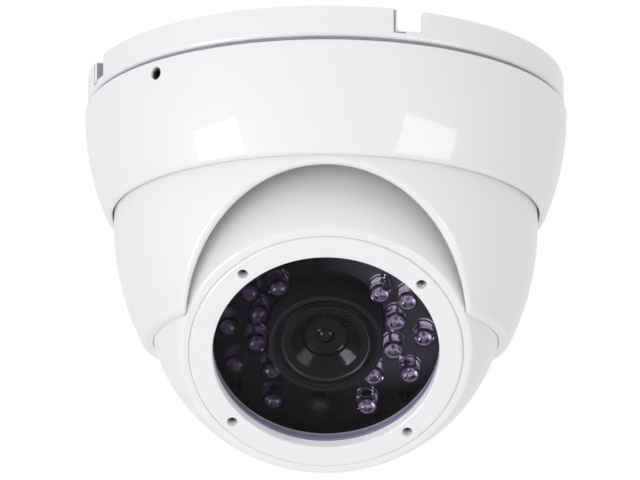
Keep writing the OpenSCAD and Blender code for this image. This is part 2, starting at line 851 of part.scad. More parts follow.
// Thumb screw that turns and locks a lens ring
module lens_lever(z, lever_angle) {
    rotate([0, 0, lever_angle]) translate([0, 0, z + ring_w / 2]) {
        along_x(0.85, barrel_r + 2 * run_gap, ring_r + 1);
        along_x(lever_r, ring_r, ring_r + lever_len);
    }
}

module focus_ring() {
    color("black") in_ball() lens_ring(focus_z, 0);
}

module focus_lever() {
    color("black") in_ball() lens_lever(focus_z, 0);
}

module zoom_ring() {
    color("black") in_ball() lens_ring(zoom_z, 180);
}

module zoom_lever() {
    color("black") in_ball() lens_lever(zoom_z, 180);
}

module focus_cell() {
    color("dimgray") in_ball() lens_cell(focus_cell_z, focus_cell_len, cell_r - lens_lip, focus_guide_z, 0);
}

// A biconvex or plano glass between two heights, fitting a cell
module glass_disc(radius, front, back, bulge) {
    curve = (pow(radius, 2) + pow(bulge, 2)) / (2 * bulge);
    intersection() {
        rod(radius, front - bulge, back - front + bulge);
        translate([0, 0, front - bulge + curve]) sphere(r = curve, $fn = 180);
    }
}

module front_lens() {
    color([0.2, 0.25, 0.3, 0.7]) in_ball()
        glass_disc(cell_r - lens_lip, focus_cell_z + 2.4, focus_cell_z + 5, 2.2);
}

module zoom_cell() {
    color("dimgray") in_ball() lens_cell(zoom_cell_z, zoom_cell_len, neck_in, zoom_guide_z, 180);
}

module rear_lens() {
    color([0.2, 0.25, 0.3, 0.7]) in_ball()
        glass_disc(neck_in, zoom_cell_z + 1.2, zoom_cell_z + 3, 1);
}

module lens_mount() {
    cavity = block_w - 7;
    color("black") in_ball() difference() {
        union() {
            rod(neck_r + 3, mount_z, sensor_board_z - mount_z - 4);
            translate([-block_w / 2, -block_w / 2, sensor_board_z - 4.6]) cube([block_w, block_w, 4.6]);
        }
        rod(neck_r + run_gap, mount_z - 1, barrel_end + neck_len + 0.3 - mount_z + 1);
        rod(neck_r - 2, mount_z - 1, 20);
        translate([-cavity / 2, -cavity / 2, sensor_board_z - 3.4]) cube([cavity, cavity, 5]);
    }
}

module ir_filter() {
    side = block_w - 7 - 2 * drop_gap;
    color("firebrick") in_ball() translate([-side / 2, -side / 2, sensor_board_z - 3.4])
        cube([side, side, 0.6]);
}

module image_sensor() {
    color("darkslategray") in_ball() translate([-5, -4, sensor_board_z - 1.2]) cube([10, 8, 1.2]);
}

// ---------------------------------------------------------------- boards

module at_board_corners() {
    for (k = [0:3]) rotate([0, 0, 90 * k]) translate([spacer_at, spacer_at, 0]) children();
}

module square_board(z) {
    w = sensor_board_w;
    difference() {
        translate([-w / 2, -w / 2, z]) cube([w, w, board_t]);
        at_board_corners() rod(stud_r + screw_gap, z - 1, board_t + 2);
    }
}

module sensor_board() {
    color("darkgreen") in_ball() square_board(sensor_board_z);
}

module main_board() {
    color("darkgreen") in_ball() square_board(main_board_z);
}

module board_spacers() {
    color("goldenrod") in_ball() at_board_corners() difference() {
        translate([0, 0, sensor_board_z + board_t]) cylinder(d = post_w / cos(30), h = spacer_h, $fn = 6);
        rod(stud_r + run_gap, sensor_board_z, spacer_h + 3);
    }
}

module board_screws() {
    color("dimgray") in_ball() at_board_corners() translate([0, 0, main_board_z + board_t])
        screw(stud_r, main_board_z + board_t - plate_z + 0.6, 2.1, 1.4, 0.8);
}

module board_sockets() {
    color("ivory") in_ball() both_sides() difference() {
        translate([sensor_board_w / 2 - 6, -5, main_board_z - 4.5]) cube([5, 10, 4.5]);
        translate([sensor_board_w / 2 - 5, -4, main_board_z - 4.6]) cube([3, 8, 3.6]);
    }
}

module video_chip() {
    color("darkslategray") in_ball() translate([-6, -6, main_board_z + board_t]) cube([12, 12, 1.2]);
}

// ---------------------------------------------------------------- everything

mount_base();
cable_grommet();
base_seal();
pan_stop_pin();
cover_ring();
cover_lock_screw();
pan_slip_ring();
pan_friction_ring();
turret_shell();
pan_frame();
pan_frame_screws();
tilt_bushes();
tilt_yoke();
tilt_pins();
tilt_pin_clips();
ball_front();
ball_rear_shell();
ball_seal();
ball_screws();
roll_washers();
neck_nut();
roll_stop_pin();
neck_plug();
bezel_ring();
bezel_screws();
window_glass();
window_gasket();
led_board();
ir_leds();
light_sensor();
board_posts();
module_plate();
plate_screws();
lens_hood();
lens_barrel();
focus_ring();
focus_lever();
focus_cell();
front_lens();
zoom_ring();
zoom_lever();
zoom_cell();
rear_lens();
lens_mount();
ir_filter();
image_sensor();
sensor_board();
board_spacers();
main_board();
board_screws();
board_sockets();
video_chip();
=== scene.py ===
"""Ceiling dome camera: rounded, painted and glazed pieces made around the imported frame."""
import json
import math

import bmesh
import bpy
from mathutils import Matrix, Vector


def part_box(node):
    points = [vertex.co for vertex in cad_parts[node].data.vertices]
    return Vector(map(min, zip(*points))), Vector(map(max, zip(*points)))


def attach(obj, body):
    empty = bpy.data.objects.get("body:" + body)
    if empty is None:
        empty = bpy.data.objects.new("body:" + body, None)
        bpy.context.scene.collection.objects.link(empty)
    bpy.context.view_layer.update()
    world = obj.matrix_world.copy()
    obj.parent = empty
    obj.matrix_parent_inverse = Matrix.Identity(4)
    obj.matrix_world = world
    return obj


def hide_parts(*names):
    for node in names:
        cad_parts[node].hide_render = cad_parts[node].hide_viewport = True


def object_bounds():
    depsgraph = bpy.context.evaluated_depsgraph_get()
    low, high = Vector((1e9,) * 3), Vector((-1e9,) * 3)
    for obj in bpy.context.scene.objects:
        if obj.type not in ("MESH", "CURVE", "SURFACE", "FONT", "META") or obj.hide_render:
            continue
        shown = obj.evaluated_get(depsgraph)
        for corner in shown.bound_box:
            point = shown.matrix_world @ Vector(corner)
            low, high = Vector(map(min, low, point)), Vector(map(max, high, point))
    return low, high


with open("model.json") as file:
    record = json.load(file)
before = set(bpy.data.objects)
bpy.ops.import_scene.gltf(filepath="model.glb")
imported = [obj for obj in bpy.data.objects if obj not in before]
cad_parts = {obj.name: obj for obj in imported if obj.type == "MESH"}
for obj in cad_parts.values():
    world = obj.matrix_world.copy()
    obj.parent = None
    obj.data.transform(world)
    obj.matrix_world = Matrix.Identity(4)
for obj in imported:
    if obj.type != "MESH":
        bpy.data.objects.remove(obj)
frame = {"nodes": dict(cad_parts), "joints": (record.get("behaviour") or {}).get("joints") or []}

bl_info = {
    "name": "Ceiling dome camera",
    "version": (1, 0, 0),
    "blender": (4, 5, 0),
    "location": "3D View > Sidebar > Dome camera",
    "description": "Builds the finished look of a ceiling dome camera around its packed frame",
    "category": "Object",
}

MM = 0.001
JOINTS = {joint["name"]: joint for joint in frame["joints"]}
BALL_CENTRE = Vector(JOINTS["tilt"]["pos_m"])
LENS_AXIS = Vector(JOINTS["roll"]["axis"])
AT_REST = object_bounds()


def size_of(node):
    """Radius, top and bottom in millimetres of an upright round node."""
    low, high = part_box(node)
    return high.x / MM, high.z / MM, low.z / MM


# ---------------------------------------------------------------- settings


def edge_size(name, description, millimetres):
    return bpy.props.FloatProperty(name=name, description=description, default=millimetres * MM, unit="LENGTH")


class DomeSizes(bpy.types.PropertyGroup):
    """Roundings and small sizes that the frame leaves to the finish."""

    lip_round: edge_size("Cover lip", "Rounding of the cover's lower outer edge", 0.7)
    seam_round: edge_size("Cover seam", "Rounding of the cover's edge beside the seam", 0.35)
    rim_round: edge_size("Base seam", "Rounding of the base's edge beside the seam", 1.25)
    notch_round: edge_size("Base rim", "Rounding of the base's top edge and of its cable notches", 0.45)
    arch_round: edge_size("Arch edge", "Rounding of the turret's edge at the foot of its arch", 1.9)
    arch_top_round: edge_size("Arch top", "Rounding of the turret's edge at the top of its arch", 1.0)
    foot_round: edge_size("Turret rim", "Rounding of the turret's lower edge", 0.8)
    face_round: edge_size("Ball face", "Rounding where the ball meets its flat face", 1.3)
    bezel_round: edge_size("Bezel edges", "Rounding of the bezel's edges", 0.5)
    roll_at_rest: bpy.props.FloatProperty(
        name="Roll", description="Roll of the ball about its lens axis at rest", default=math.radians(4),
        subtype="ANGLE")


def colour(name, description, value):
    return bpy.props.FloatVectorProperty(
        name=name, description=description, subtype="COLOR", size=3, min=0, max=1, default=value)


class DomeColours(bpy.types.PropertyGroup):
    """Colours of the finishes."""

    paint: colour("Paint", "Gloss paint on the shells", (0.88, 0.88, 0.885))
    seal: colour("Seam seal", "Rubber in the seam between base and cover", (0.24, 0.245, 0.30))
    # partly painted reflection: the gasket gets a pale violet that stands for the violet which the window's coating
    # reflects over it
    gasket: colour("Window gasket", "Milky silicone behind the window", (0.53, 0.50, 0.68))
    rubber: colour("Rubber", "Black rubber of hood, grommet and gaskets", (0.012, 0.012, 0.013))
    glass: colour("Window", "Tint of the window glass", (0.865, 0.855, 0.885))
    coating: colour("Coating", "Colour that the lens glass mirrors", (0.85, 1.0, 0.62))
    epoxy: colour("Lamp", "Clear resin of the infrared lamps", (0.70, 0.65, 0.77))
    board: colour("Circuit board", "Solder mask of the circuit boards", (0.006, 0.007, 0.006))
    # painted light: the colour that the boards turn towards +X and the top, where bounced light falls; it is not haze
    dust_and_painted_light: colour("Board haze", "Haze on the outer half of the circuit boards", (0.12, 0.12, 0.145))
    brass: colour("Brass", "Turned brass posts and nut", (0.72, 0.52, 0.24))
    steel: colour("Steel", "Plated steel parts", (0.60, 0.60, 0.62))
    nylon: colour("Nylon", "Bearing washers and bushes", (0.78, 0.75, 0.66))


def sizes():
    return bpy.context.scene.dome_sizes


def tone(name, alpha=1.0):
    """One of the colours, with an alpha."""
    return (*getattr(bpy.context.scene.dome_colours, name), alpha)


# ---------------------------------------------------------------- finishes


class Wire:
    """One value in a finish. Arithmetic on wires adds Math nodes."""

    def __init__(self, look, socket):
        self.look = look
        self.socket = socket

    def maths(self, operation, *others):
        return self.look.node("Math", {"operation": operation}, dict(enumerate((self, *others))))

    def __add__(self, other):
        return self.maths("ADD", other)

    __radd__ = __add__

    def __sub__(self, other):
        return self.maths("SUBTRACT", other)

    def __rsub__(self, other):
        return self.look.node("Math", {"operation": "SUBTRACT"}, {0: other, 1: self})

    def __mul__(self, other):
        return self.maths("MULTIPLY", other)

    __rmul__ = __mul__

    def below(self, level):
        return self.maths("LESS_THAN", level)

    def clamped(self):
        return self.look.node("Clamp", {}, {0: self})


class Finish:
    """The node tree of one procedural material, or of the world."""

    def __init__(self, owner):
        owner.use_nodes = True
        self.owner = owner
        self.tree = owner.node_tree
        self.tree.nodes.clear()
        self.place = self.node("TexCoord", output="Object")

    def node(self, kind, settings=None, values=None, output=0):
        """Adds a node: its settings first, then the values or wires of its sockets."""
        made = self.tree.nodes.new("ShaderNode" + kind)
        for key, value in (settings or {}).items():
            setattr(made, key, value)
        for key, value in (values or {}).items():
            if isinstance(value, Wire):
                self.tree.links.new(value.socket, made.inputs[key])
            else:
                made.inputs[key].default_value = value
        return Wire(self, made.outputs[output]) if made.outputs else made

    def part(self, vector, axis):
        """One of the three numbers of a vector."""
        return self.node("SeparateXYZ", {}, {"Vector": vector}, "XYZ".index(axis))

    def noise(self, scale, detail=2.0, vector=None):
        return self.node("TexNoise", {}, {"Vector": vector or self.place, "Scale": scale, "Detail": detail})

    def blend(self, share, first, second):
        """A colour between two others."""
        return self.node("Mix", {"data_type": "RGBA"}, {0: share, 6: first, 7: second}, 2)

    def relief(self, height, strength, distance):
        return self.node("Bump", {}, {"Height": height, "Strength": strength, "Distance": distance})

    def solid(self, **values):
        """A Principled shader, with _ for the spaces of its socket names."""
        return self.node("BsdfPrincipled", {}, {key.replace("_", " "): value for key, value in values.items()})

    def layered(self, share, first, second):
        """Two shaders, one over the other."""
        return self.node("MixShader", {}, {0: share, 1: first, 2: second})

    def done(self, surface):
        kind = "OutputWorld" if isinstance(self.owner, bpy.types.World) else "OutputMaterial"
        self.node(kind, {}, {"Surface": surface})
        return self.owner


def finish(name):
    return Finish(bpy.data.materials.new(name))


def shaded(base, share, lift=0.0):
    """A colour made darker or lighter, with full alpha."""
    return (*(min(1.0, share * part + lift) for part in base[:3]), 1.0)


def given(shade):
    """One of the user's colours by name, or a colour as it is."""
    return tone(shade) if isinstance(shade, str) else (*shade[:3], 1.0)


def made_once(make):
    """Keeps one material per kind of finish."""
    kept = {}

    def wrapped(*settings):
        key = (make.__name__, *settings)
        if key not in kept:
            kept[key] = make(*settings)
        return kept[key]

    return wrapped


@made_once
def gloss_paint():
    """White gloss paint: faint clouding, the skin of sprayed paint, and a hard clear coat."""
    f = finish("gloss_paint")
    cloud = f.noise(28.0, 3.0)
    white = tone("paint")
    skin = f.noise(650.0, 2.0) + f.noise(2600.0, 1.0) * 0.15
    return f.done(f.solid(
        Base_Color=f.blend(cloud, shaded(white, 0.97), white), Roughness=0.38 + cloud * 0.12, Specular_IOR_Level=0.12,
        Coat_Weight=0.32, Coat_Roughness=0.02, Coat_IOR=1.5, Normal=f.relief(skin, 0.05, 0.00004)))


@made_once
def rubber(shade="rubber"):
    """Matt moulded rubber with a fine grain."""
    f = finish("rubber_" + shade)
    grain = f.noise(1800.0, 3.0)
    base = tone(shade)
    return f.done(f.solid(
        Base_Color=f.blend(grain, base, shaded(base, 1.5, 0.006)), Roughness=0.55 + grain * 0.25,
        Specular_IOR_Level=0.2, Normal=f.relief(grain, 0.25, 0.00005)))


@made_once
def metal(shade, name, rough=0.28, spread=0.22):
    """Turned or stamped metal with fine drawn marks."""
    f = finish(name)
    drawn = f.noise(420.0, 4.0, f.node("Mapping", {}, {"Vector": f.place, "Scale": (1.0, 1.0, 9.0)}))
    base = given(shade)
    return f.done(f.solid(
        Base_Color=f.blend(drawn, shaded(base, 0.72), base), Metallic=1.0, Roughness=rough + drawn * spread,
        Normal=f.relief(drawn, 0.08, 0.00003)))


@made_once
def plastic(name, shade, rough=0.42, level=0.3):
    """Moulded plastic with a fine grain."""
    f = finish(name)
    grain = f.noise(1500.0, 2.0)
    base = given(shade)
    return f.done(f.solid(
        Base_Color=f.blend(grain, base, shaded(base, 1.25, 0.004)), Roughness=rough + grain * 0.15,
        Specular_IOR_Level=level, Normal=f.relief(grain, 0.12, 0.00004)))


@made_once
def window_pane():
    """Thin tinted glass: it mirrors a little by angle and lets the rest through, violet."""
    f = finish("window_pane")
    mirror = f.node("Fresnel", {}, {"IOR": 1.13})
    clear = f.node("BsdfTransparent", {}, {"Color": tone("glass")})
    haze = f.noise(90.0, 3.0)
    shine = f.node("BsdfGlossy", {}, {"Color": (0.95, 0.95, 1.0, 1.0), "Roughness": 0.02 + haze * 0.02})
    return f.done(f.layered(mirror, clear, shine))


@made_once
def clear_resin():
    """Cast resin that bends what is seen through it, with painted shade: darker towards -X, where the lamps lie in
    shade. Light passes straight, to the inside.
    """
    f = finish("clear_resin")
    ripple = f.noise(700.0, 1.0)
    clear = tone("epoxy")
    # painted shade: the lamps towards -X get a darker resin colour, chosen by their X position
    painted_shade_tint = (0.13 * clear[0], 0.10 * clear[1], 0.15 * clear[2], 1.0)
    unshaded_share = (f.part(f.place, "X") * 40.0 + 0.38 + ripple * 0.35).clamped()
    resin = f.solid(
        Base_Color=f.blend(unshaded_share, painted_shade_tint, clear), Roughness=0.01 + unshaded_share * 0.09, IOR=1.5,
        Transmission_Weight=1.0, Normal=f.relief(ripple, 0.05, 0.00004))
    open_way = f.node("BsdfTransparent", {}, {"Color": clear})
    shadow = f.node("LightPath", output="Is Shadow Ray")
    return f.done(f.layered(shadow, resin, open_way))


@made_once
def dark_glass():
    """Front glass over a dark lens: nearly black, with a hard polish."""
    f = finish("dark_glass")
    cloud = f.noise(300.0, 2.0)
    return f.done(f.solid(
        Base_Color=f.blend(cloud, (0.003, 0.004, 0.003, 1.0), (0.006, 0.009, 0.006, 1.0)),
        Roughness=0.02 + cloud * 0.02, IOR=1.3))


@made_once
def coated_glass():
    """Lens glass: dark, with a thin green and violet coating."""
    f = finish("coated_glass")
    mirror = f.node("Fresnel", {}, {"IOR": 1.42})
    clear = f.node("BsdfTransparent", {}, {"Color": (0.78, 0.84, 0.80, 1.0)})
    dust_and_painted_light = f.noise(240.0, 2.0)
    shine = f.node("BsdfGlossy", {}, {"Color": tone("coating"), "Roughness": 0.01 + dust_and_painted_light * 0.02})
    return f.done(f.layered(mirror, clear, shine))


@made_once
def solder_mask():
    """Dark circuit board with faint tracks under its mask, and painted light: paler towards +X and the top, where
    light bounced off the bore wall falls.
    """
    f = finish("solder_mask")
    cells = f.node("TexVoronoi", {"feature": "DISTANCE_TO_EDGE"}, {"Vector": f.place, "Scale": 420.0})
    track = cells.below(0.10)
    weave = f.noise(1500.0, 2.0)
    mask = tone("board")
    # painted light: a mask that grows towards +X and the top, where bounced light falls on the boards
    dust_and_painted_light = (f.part(f.place, "X") * 70.0 + 0.1).clamped() * (f.part(f.place, "Z") * 180.0 + 14.0).clamped()
    return f.done(f.solid(
        Base_Color=f.blend(dust_and_painted_light * 0.9, f.blend(track, mask, shaded(mask, 2.2, 0.004)), tone("dust_and_painted_light")),
        Roughness=0.36 + weave * 0.18, Specular_IOR_Level=0.12, Normal=f.relief(track + weave * 0.4, 0.20, 0.00003)))


@made_once
def dark_resin(name, shade):
    """Tinted resin or filter glass with a polished face."""
    f = finish(name)
    cloud = f.noise(600.0, 2.0)
    base = given(shade)
    return f.done(f.solid(
        Base_Color=f.blend(cloud, shaded(base, 0.45), base), Roughness=0.10 + cloud * 0.10, Coat_Weight=0.15,
        Coat_Roughness=0.03))


# ---------------------------------------------------------------- shaping


def bend(start, corner, end, steps):
    """Points of the arc that leaves start and reaches end, both as far from the corner."""
    a, b = (start - corner).normalized(), (end - corner).normalized()
    weight = math.sqrt(max(0.0, (1 - a.dot(b)) / 2))
    points = []
    for step in range(steps + 1):
        t = step / steps
        whole = (1 - t) ** 2 + 2 * weight * t * (1 - t) + t ** 2
        points.append(((1 - t) ** 2 * start + 2 * weight * t * (1 - t) * corner + t ** 2 * end) / whole)
    return points


def soft_outline(corners, steps=5):
    """An outline in millimetres; a corner is (radius, height) or (radius, height, rounding)."""
    count, points = len(corners), []
    for i, corner in enumerate(corners):
        here = Vector(corner[:2])
        rounding = corner[2] if len(corner) > 2 else 0
        if not rounding:
            points.append(here)
            continue
        before = Vector(corners[i - 1][:2]) - here
        after = Vector(corners[(i + 1) % count][:2]) - here
        half = before.angle(after) / 2
        reach = rounding / math.tan(half)
        arc = bend(here + before.normalized() * reach, here, here + after.normalized() * reach, steps)
        for side, first, way in ((before, True, arc[0]), (after, False, arc[-1])):
            if side.length > 2.6 * reach:
                guard = way + side.normalized() * min(0.35, 0.5 * reach)
                arc = [guard, *arc] if first else [*arc, guard]
        points += arc
    return points


def arc_points(centre, radius, start, end, steps):
    """Points on a circle in millimetres, angles in radians from the first axis."""
    return [
        (centre[0] + radius * math.cos(start + (end - start) * i / steps),
         centre[1] + radius * math.sin(start + (end - start) * i / steps))
        for i in range(steps + 1)
    ]


def lathe(points, steps=192, turn=0.0, closed=True):
    """Spins an outline in millimetres about the Z axis."""
    bm = bmesh.new()
    verts = [bm.verts.new((p[0] * MM, 0.0, p[1] * MM)) for p in points]
    edges = [bm.edges.new((verts[i - 1], verts[i])) for i in range(0 if closed else 1, len(verts))]
    bmesh.ops.spin(bm, geom=verts + edges, cent=(0, 0, 0), axis=(0, 0, 1), angle=2 * math.pi,
                   steps=steps, use_merge=True)
    bmesh.ops.remove_doubles(bm, verts=bm.verts[:], dist=1e-7)
    bmesh.ops.dissolve_degenerate(bm, edges=bm.edges[:], dist=1e-8)
    bmesh.ops.recalc_face_normals(bm, faces=bm.faces[:])
    bm.transform(Matrix.Rotation(turn, 4, "Z"))
    return bm


def drum(radius, low, high, rounding=0.0, steps=48, sides=3):
    """A solid round bar in millimetres, its edges rounded."""
    if not rounding:
        return lathe([(0, low), (radius, low), (radius, high), (0, high)], steps, closed=False)
    lower = bend(Vector((radius - rounding, low)), Vector((radius, low)), Vector((radius, low + rounding)), sides)
    upper = bend(Vector((radius, high - rounding)), Vector((radius, high)), Vector((radius - rounding, high)), sides)
    return lathe([(0, low), *lower, *upper, (0, high)], steps, closed=False)


def bar(size, centre, rounding=0.0):
    """A square-edged bar in millimetres, its edges rounded."""
    bm = bmesh.new()
    bmesh.ops.create_cube(bm, size=1.0, matrix=Matrix.Translation(Vector(centre) * MM)
                          @ Matrix.Diagonal((*(side * MM for side in size), 1)))
    if rounding:
        bmesh.ops.bevel(bm, geom=bm.edges[:], offset=rounding * MM, offset_type="OFFSET", segments=2, profile=0.5,
                        affect="EDGES", material=-1, clamp_overlap=True)
    return bm


def hexagon(bm, chosen, flat):
    """Pulls the chosen points of a turned pit into a hexagon; flat is from its middle to a side, in millimetres."""
    for vert in bm.verts:
        out = vert.co.xy.length
        if chosen(vert.co.z / MM, out / MM):
            turn = math.degrees(math.atan2(vert.co.y, vert.co.x)) % 60 - 30
            reach = flat * MM / math.cos(math.radians(turn)) / out
            vert.co.x *= reach
            vert.co.y *= reach


def around(angle):
    """Turn about Z that brings +X to an azimuth: 0 is the front, positive towards +X."""
    return Matrix.Rotation(math.radians(angle - 90), 4, "Z")


def ball_place():
    """From the ball's own frame, lens axis along -Z, to its place."""
    lean = math.atan2(LENS_AXIS.z, LENS_AXIS.y) - math.pi / 2
    return (Matrix.Translation(BALL_CENTRE) @ Matrix.Rotation(lean, 4, "X")
            @ Matrix.Rotation(sizes().roll_at_rest, 4, "Z"))


def ring_place(radius, angle, height=0.0):
    """A place on a ring in the ball's own frame, millimetres and degrees."""
    return Matrix.Rotation(math.radians(angle), 4, "Z") @ Matrix.Translation((radius * MM, 0, height * MM))


def joined(parts):
    """Several bmeshes as one."""
    whole = bmesh.new()
    for part in parts:
        mesh = bpy.data.meshes.new("part")
        part.to_mesh(mesh)
        part.free()
        whole.from_mesh(mesh)
        bpy.data.meshes.remove(mesh)
    return whole


def copies(make, places):
    """The same shape at several places."""
    parts = []
    for place in places:
        part = make()
        part.transform(place)
        parts.append(part)
    return joined(parts)


def as_object(name, bm):
    mesh = bpy.data.meshes.new(name)
    bm.to_mesh(mesh)
    bm.free()
    made = bpy.data.objects.new(name, mesh)
    bpy.context.scene.collection.objects.link(made)
    return made


def discard(made):
    """Removes an object and its mesh."""
    mesh = made.data
    bpy.data.objects.remove(made)
    bpy.data.meshes.remove(mesh)


def carved(body, tools, operation="DIFFERENCE"):
    """A bmesh cut by, or joined to, other closed shapes."""
    host = as_object("host", body)
    for tool in tools:
        cutter = as_object("cutter", tool)
        cut = host.modifiers.new("cut", "BOOLEAN")
        cut.operation, cut.solver, cut.object = operation, "EXACT", cutter
        bpy.context.view_layer.update()
        done = bpy.data.meshes.new_from_object(host.evaluated_get(bpy.context.evaluated_depsgraph_get()))
        host.modifiers.clear()
        host.data, old = done, host.data
        bpy.data.meshes.remove(old)
        discard(cutter)
    bm = bmesh.new()
    bm.from_mesh(host.data)
    discard(host)
    bmesh.ops.remove_doubles(bm, verts=bm.verts[:], dist=1e-7)
    return bm


def crisp(bm, limit=34.0):
    """Smooth faces, with hard edges only where two faces meet at more than the limit."""
    bm.normal_update()
    for face in bm.faces:
        face.smooth = True
    for edge in bm.edges:
        if len(edge.link_faces) == 2:
            edge.smooth = edge.calc_face_angle(0.0) < math.radians(limit)
    return bm


def piece(name, bm, body, materials, stands_for=(), place=None, limit=34.0):
    """Makes a finished piece that rides on a body."""
    if place is not None:
        bm.transform(place)
    made = as_object(name, crisp(bm, limit))
    for material in materials:
        made.data.materials.append(material)
    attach(made, body)
    if stands_for:
        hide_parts(*stands_for)
    return made


def paint_faces(bm, chosen, index):
    """Gives the faces that a test chooses another material."""
    for face in bm.faces:
        if chosen(face.calc_center_median() / MM):
            face.material_index = index


def coat_node(node, material):
    """A material on a CAD node that keeps its shape."""
    for slot in frame["nodes"][node].material_slots:
        slot.material = material


# ---------------------------------------------------------------- base and cover


# millimetres, as everywhere below
BASE_SEAM, BASE_FLOOR = -7.7, -5.5
BASE_WALL = 3.0
COLLAR_OUT, COLLAR_IN = 53.97, 50.45
NOTCH_SIDES, NOTCH_DEEP = (17.07, 22.90), -5.3
BOSS_RING, BOSS_R, SCREW_R, SINK_R = 43.0, 5.0, 2.25, 4.1
CABLE_R, CABLE_Y = 8.0, 30.0
RIB = (35.2, 1.4, 2.6)
RIB_RING, RIB_RISE = 39.0, 1.0
QUARTERS = [Matrix.Rotation(math.pi / 2 * k, 4, "Z") for k in range(4)]


def in_notch(centre):
    """Whether a face centre in millimetres lies on a wall or the floor of a cable notch."""
    left, right = NOTCH_SIDES
    for turn in QUARTERS:
        here = turn @ centre
        if left - 0.02 < here.x < right + 0.02 and here.y < -50 and NOTCH_DEEP - 0.02 < here.z < -0.3:
            return True
    return False


def build_base():
    """Ceiling plate: rim with four cable notches, floor, screw bosses, ribs and the cover's collar."""
    radius, top, collar_low = size_of("mount_base")
    inside = radius - BASE_WALL
    outline = soft_outline([
        (0, BASE_FLOOR), (inside, BASE_FLOOR, 0.5), (inside, top), (radius, top),
        (radius, BASE_SEAM, sizes().rim_round / MM), (COLLAR_OUT, BASE_SEAM), (COLLAR_OUT, collar_low, 0.4),
        (COLLAR_IN, collar_low, 0.4), (COLLAR_IN, BASE_SEAM, 0.4), (0, BASE_SEAM)], 5)
    shell = lathe(outline, 120, math.radians(0.8 - 90), closed=False)
    corners = [around(45 + 90 * k) @ Matrix.Translation((BOSS_RING * MM, 0, 0)) for k in range(4)]
    shell = carved(shell, [copies(lambda: drum(BOSS_R, BASE_SEAM + 1, top, 0.35, 40), corners)], "UNION")
    cable = drum(CABLE_R, BASE_SEAM - 2, BASE_FLOOR + 2, 0, 64)
    cable.transform(Matrix.Translation((0, CABLE_Y * MM, 0)) @ around(180))
    left, right = NOTCH_SIDES
    whole = carved(shell, [
        copies(lambda: drum(SCREW_R, BASE_SEAM - 2, top + 2, 0, 32), corners),
        copies(lambda: drum(SINK_R, top - 1.2, top + 2, 0, 32), corners),
        cable,
        copies(lambda: bar((right - left, 12, 10), ((left + right) / 2, -56.5, NOTCH_DEEP + 5)), QUARTERS)])
    whole.normal_update()
    rim = [edge for edge in whole.edges if len(edge.link_faces) == 2
           and edge.calc_face_angle(0) > math.radians(40)
           and all(vert.co.xy.length > 55.6 * MM and vert.co.z > (NOTCH_DEEP - 0.1) * MM for vert in edge.verts)]
    bmesh.ops.bevel(whole, geom=rim, offset=sizes().notch_round, offset_type="OFFSET", segments=3, profile=0.5,
                    affect="EDGES", material=-1, clamp_overlap=False)
    bmesh.ops.recalc_face_normals(whole, faces=whole.faces[:])
    whole.normal_update()
    # painted shade: the walls and floors of the cable notches get a dark grey metal that stands for the shade inside
    # them
    paint_faces(whole, in_notch, 1)
    ribs = copies(lambda: bar(RIB, (0, 0, 0), 0.3), [
        around(45 * k) @ Matrix.Translation(Vector((RIB_RING, 0, BASE_FLOOR + RIB_RISE)) * MM)
        for k in (1, 2, 3, 5, 6, 7)])
    return joined([whole, ribs])


class DOME_OT_base(bpy.types.Operator):
    """Make the ceiling plate, its cable grommet and the seal in the seam"""

    bl_idname = "dome.base"
    bl_label = "Base plate"

    def execute(self, context):
        # the second material is painted shade for the cable notches
        piece("base_plate", build_base(), "base",
              [gloss_paint(), metal((0.30, 0.31, 0.34), "bare_zinc", 0.5)], ["mount_base"])
        low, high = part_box("cable_grommet")
        top, bottom = high.z / MM, low.z / MM
        neck, brim = CABLE_R - 0.2, 10.0
        outline = soft_outline([
            (4.0, bottom, 0.5), (9.4, bottom, 0.5), (brim, BASE_SEAM, 0.15), (neck, BASE_SEAM, 0.15),
            (neck, BASE_FLOOR, 0.15), (brim, BASE_FLOOR, 0.15), (9.4, top, 0.5), (4.0, top, 0.5)], 4)
        place = Matrix.Translation((0, (low.y + high.y) / 2, 0))
        piece("grommet", lathe(outline, 96), "base", [rubber()], ["cable_grommet"], place)
        radius, seal_top, seal_low = size_of("base_seal")
        radius += 0.35
        ring = soft_outline([
            (radius - 1.8, seal_low), (radius, seal_low, 0.25), (radius, seal_top, 0.25), (radius - 1.8, seal_top)], 4)
        piece("seam_seal", lathe(ring, 192), "base", [rubber("seal")], ["base_seal"])
        return {"FINISHED"}


COVER_BORE = 52.9
COVER_CURVE = 65.0
COVER_INSIDE = ((COVER_BORE, -25.5), (55.17, -25.5), (55.17, -20.9), (56.57, -16.5))
SEAM_DROP, LIP_RISE = 0.25, 0.9
LUG = ((54.37, -12.9), (57.2, -12.9), (57.2, -9.9), (54.37, -9.9))
LUG_TURNS, LUG_HALF = (20, 140, 260), 12
LOCK_TURN = -43.1
LOCK_HOLE = (1.6, 51.0, 62.0)                     # radius, inner and outer end
LOCK_SCREW = ((0, 50.0), (1.5, 50.0), (1.5, 59.2), (1.3, 59.5), (1.0, 59.5), (0.87, 59.3), (0.87, 57.5), (0, 57.2))


def lock_place():
    """Place of the lock screw, whose own axis is Z, outwards."""
    low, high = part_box("cover_lock_screw")
    return (around(LOCK_TURN) @ Matrix.Translation((0, 0, (low.z + high.z) / 2))
            @ Matrix.Rotation(math.pi / 2, 4, "Y"))


def bayonet_lug(middle):
    """A short piece of ring that hooks on the base's collar."""
    lug = lathe(LUG, 180)
    for turn, sign in ((middle + LUG_HALF, 1), (middle - LUG_HALF, -1)):
        normal = around(turn).to_3x3() @ Vector((0, sign, 0))
        bmesh.ops.bisect_plane(lug, geom=lug.verts[:] + lug.edges[:] + lug.faces[:], dist=1e-7,
                               plane_co=(0, 0, 0), plane_no=normal, clear_outer=True)
        bmesh.ops.holes_fill(lug, edges=[edge for edge in lug.edges if edge.is_boundary], sides=0)
    bmesh.ops.recalc_face_normals(lug, faces=lug.faces[:])
    return lug


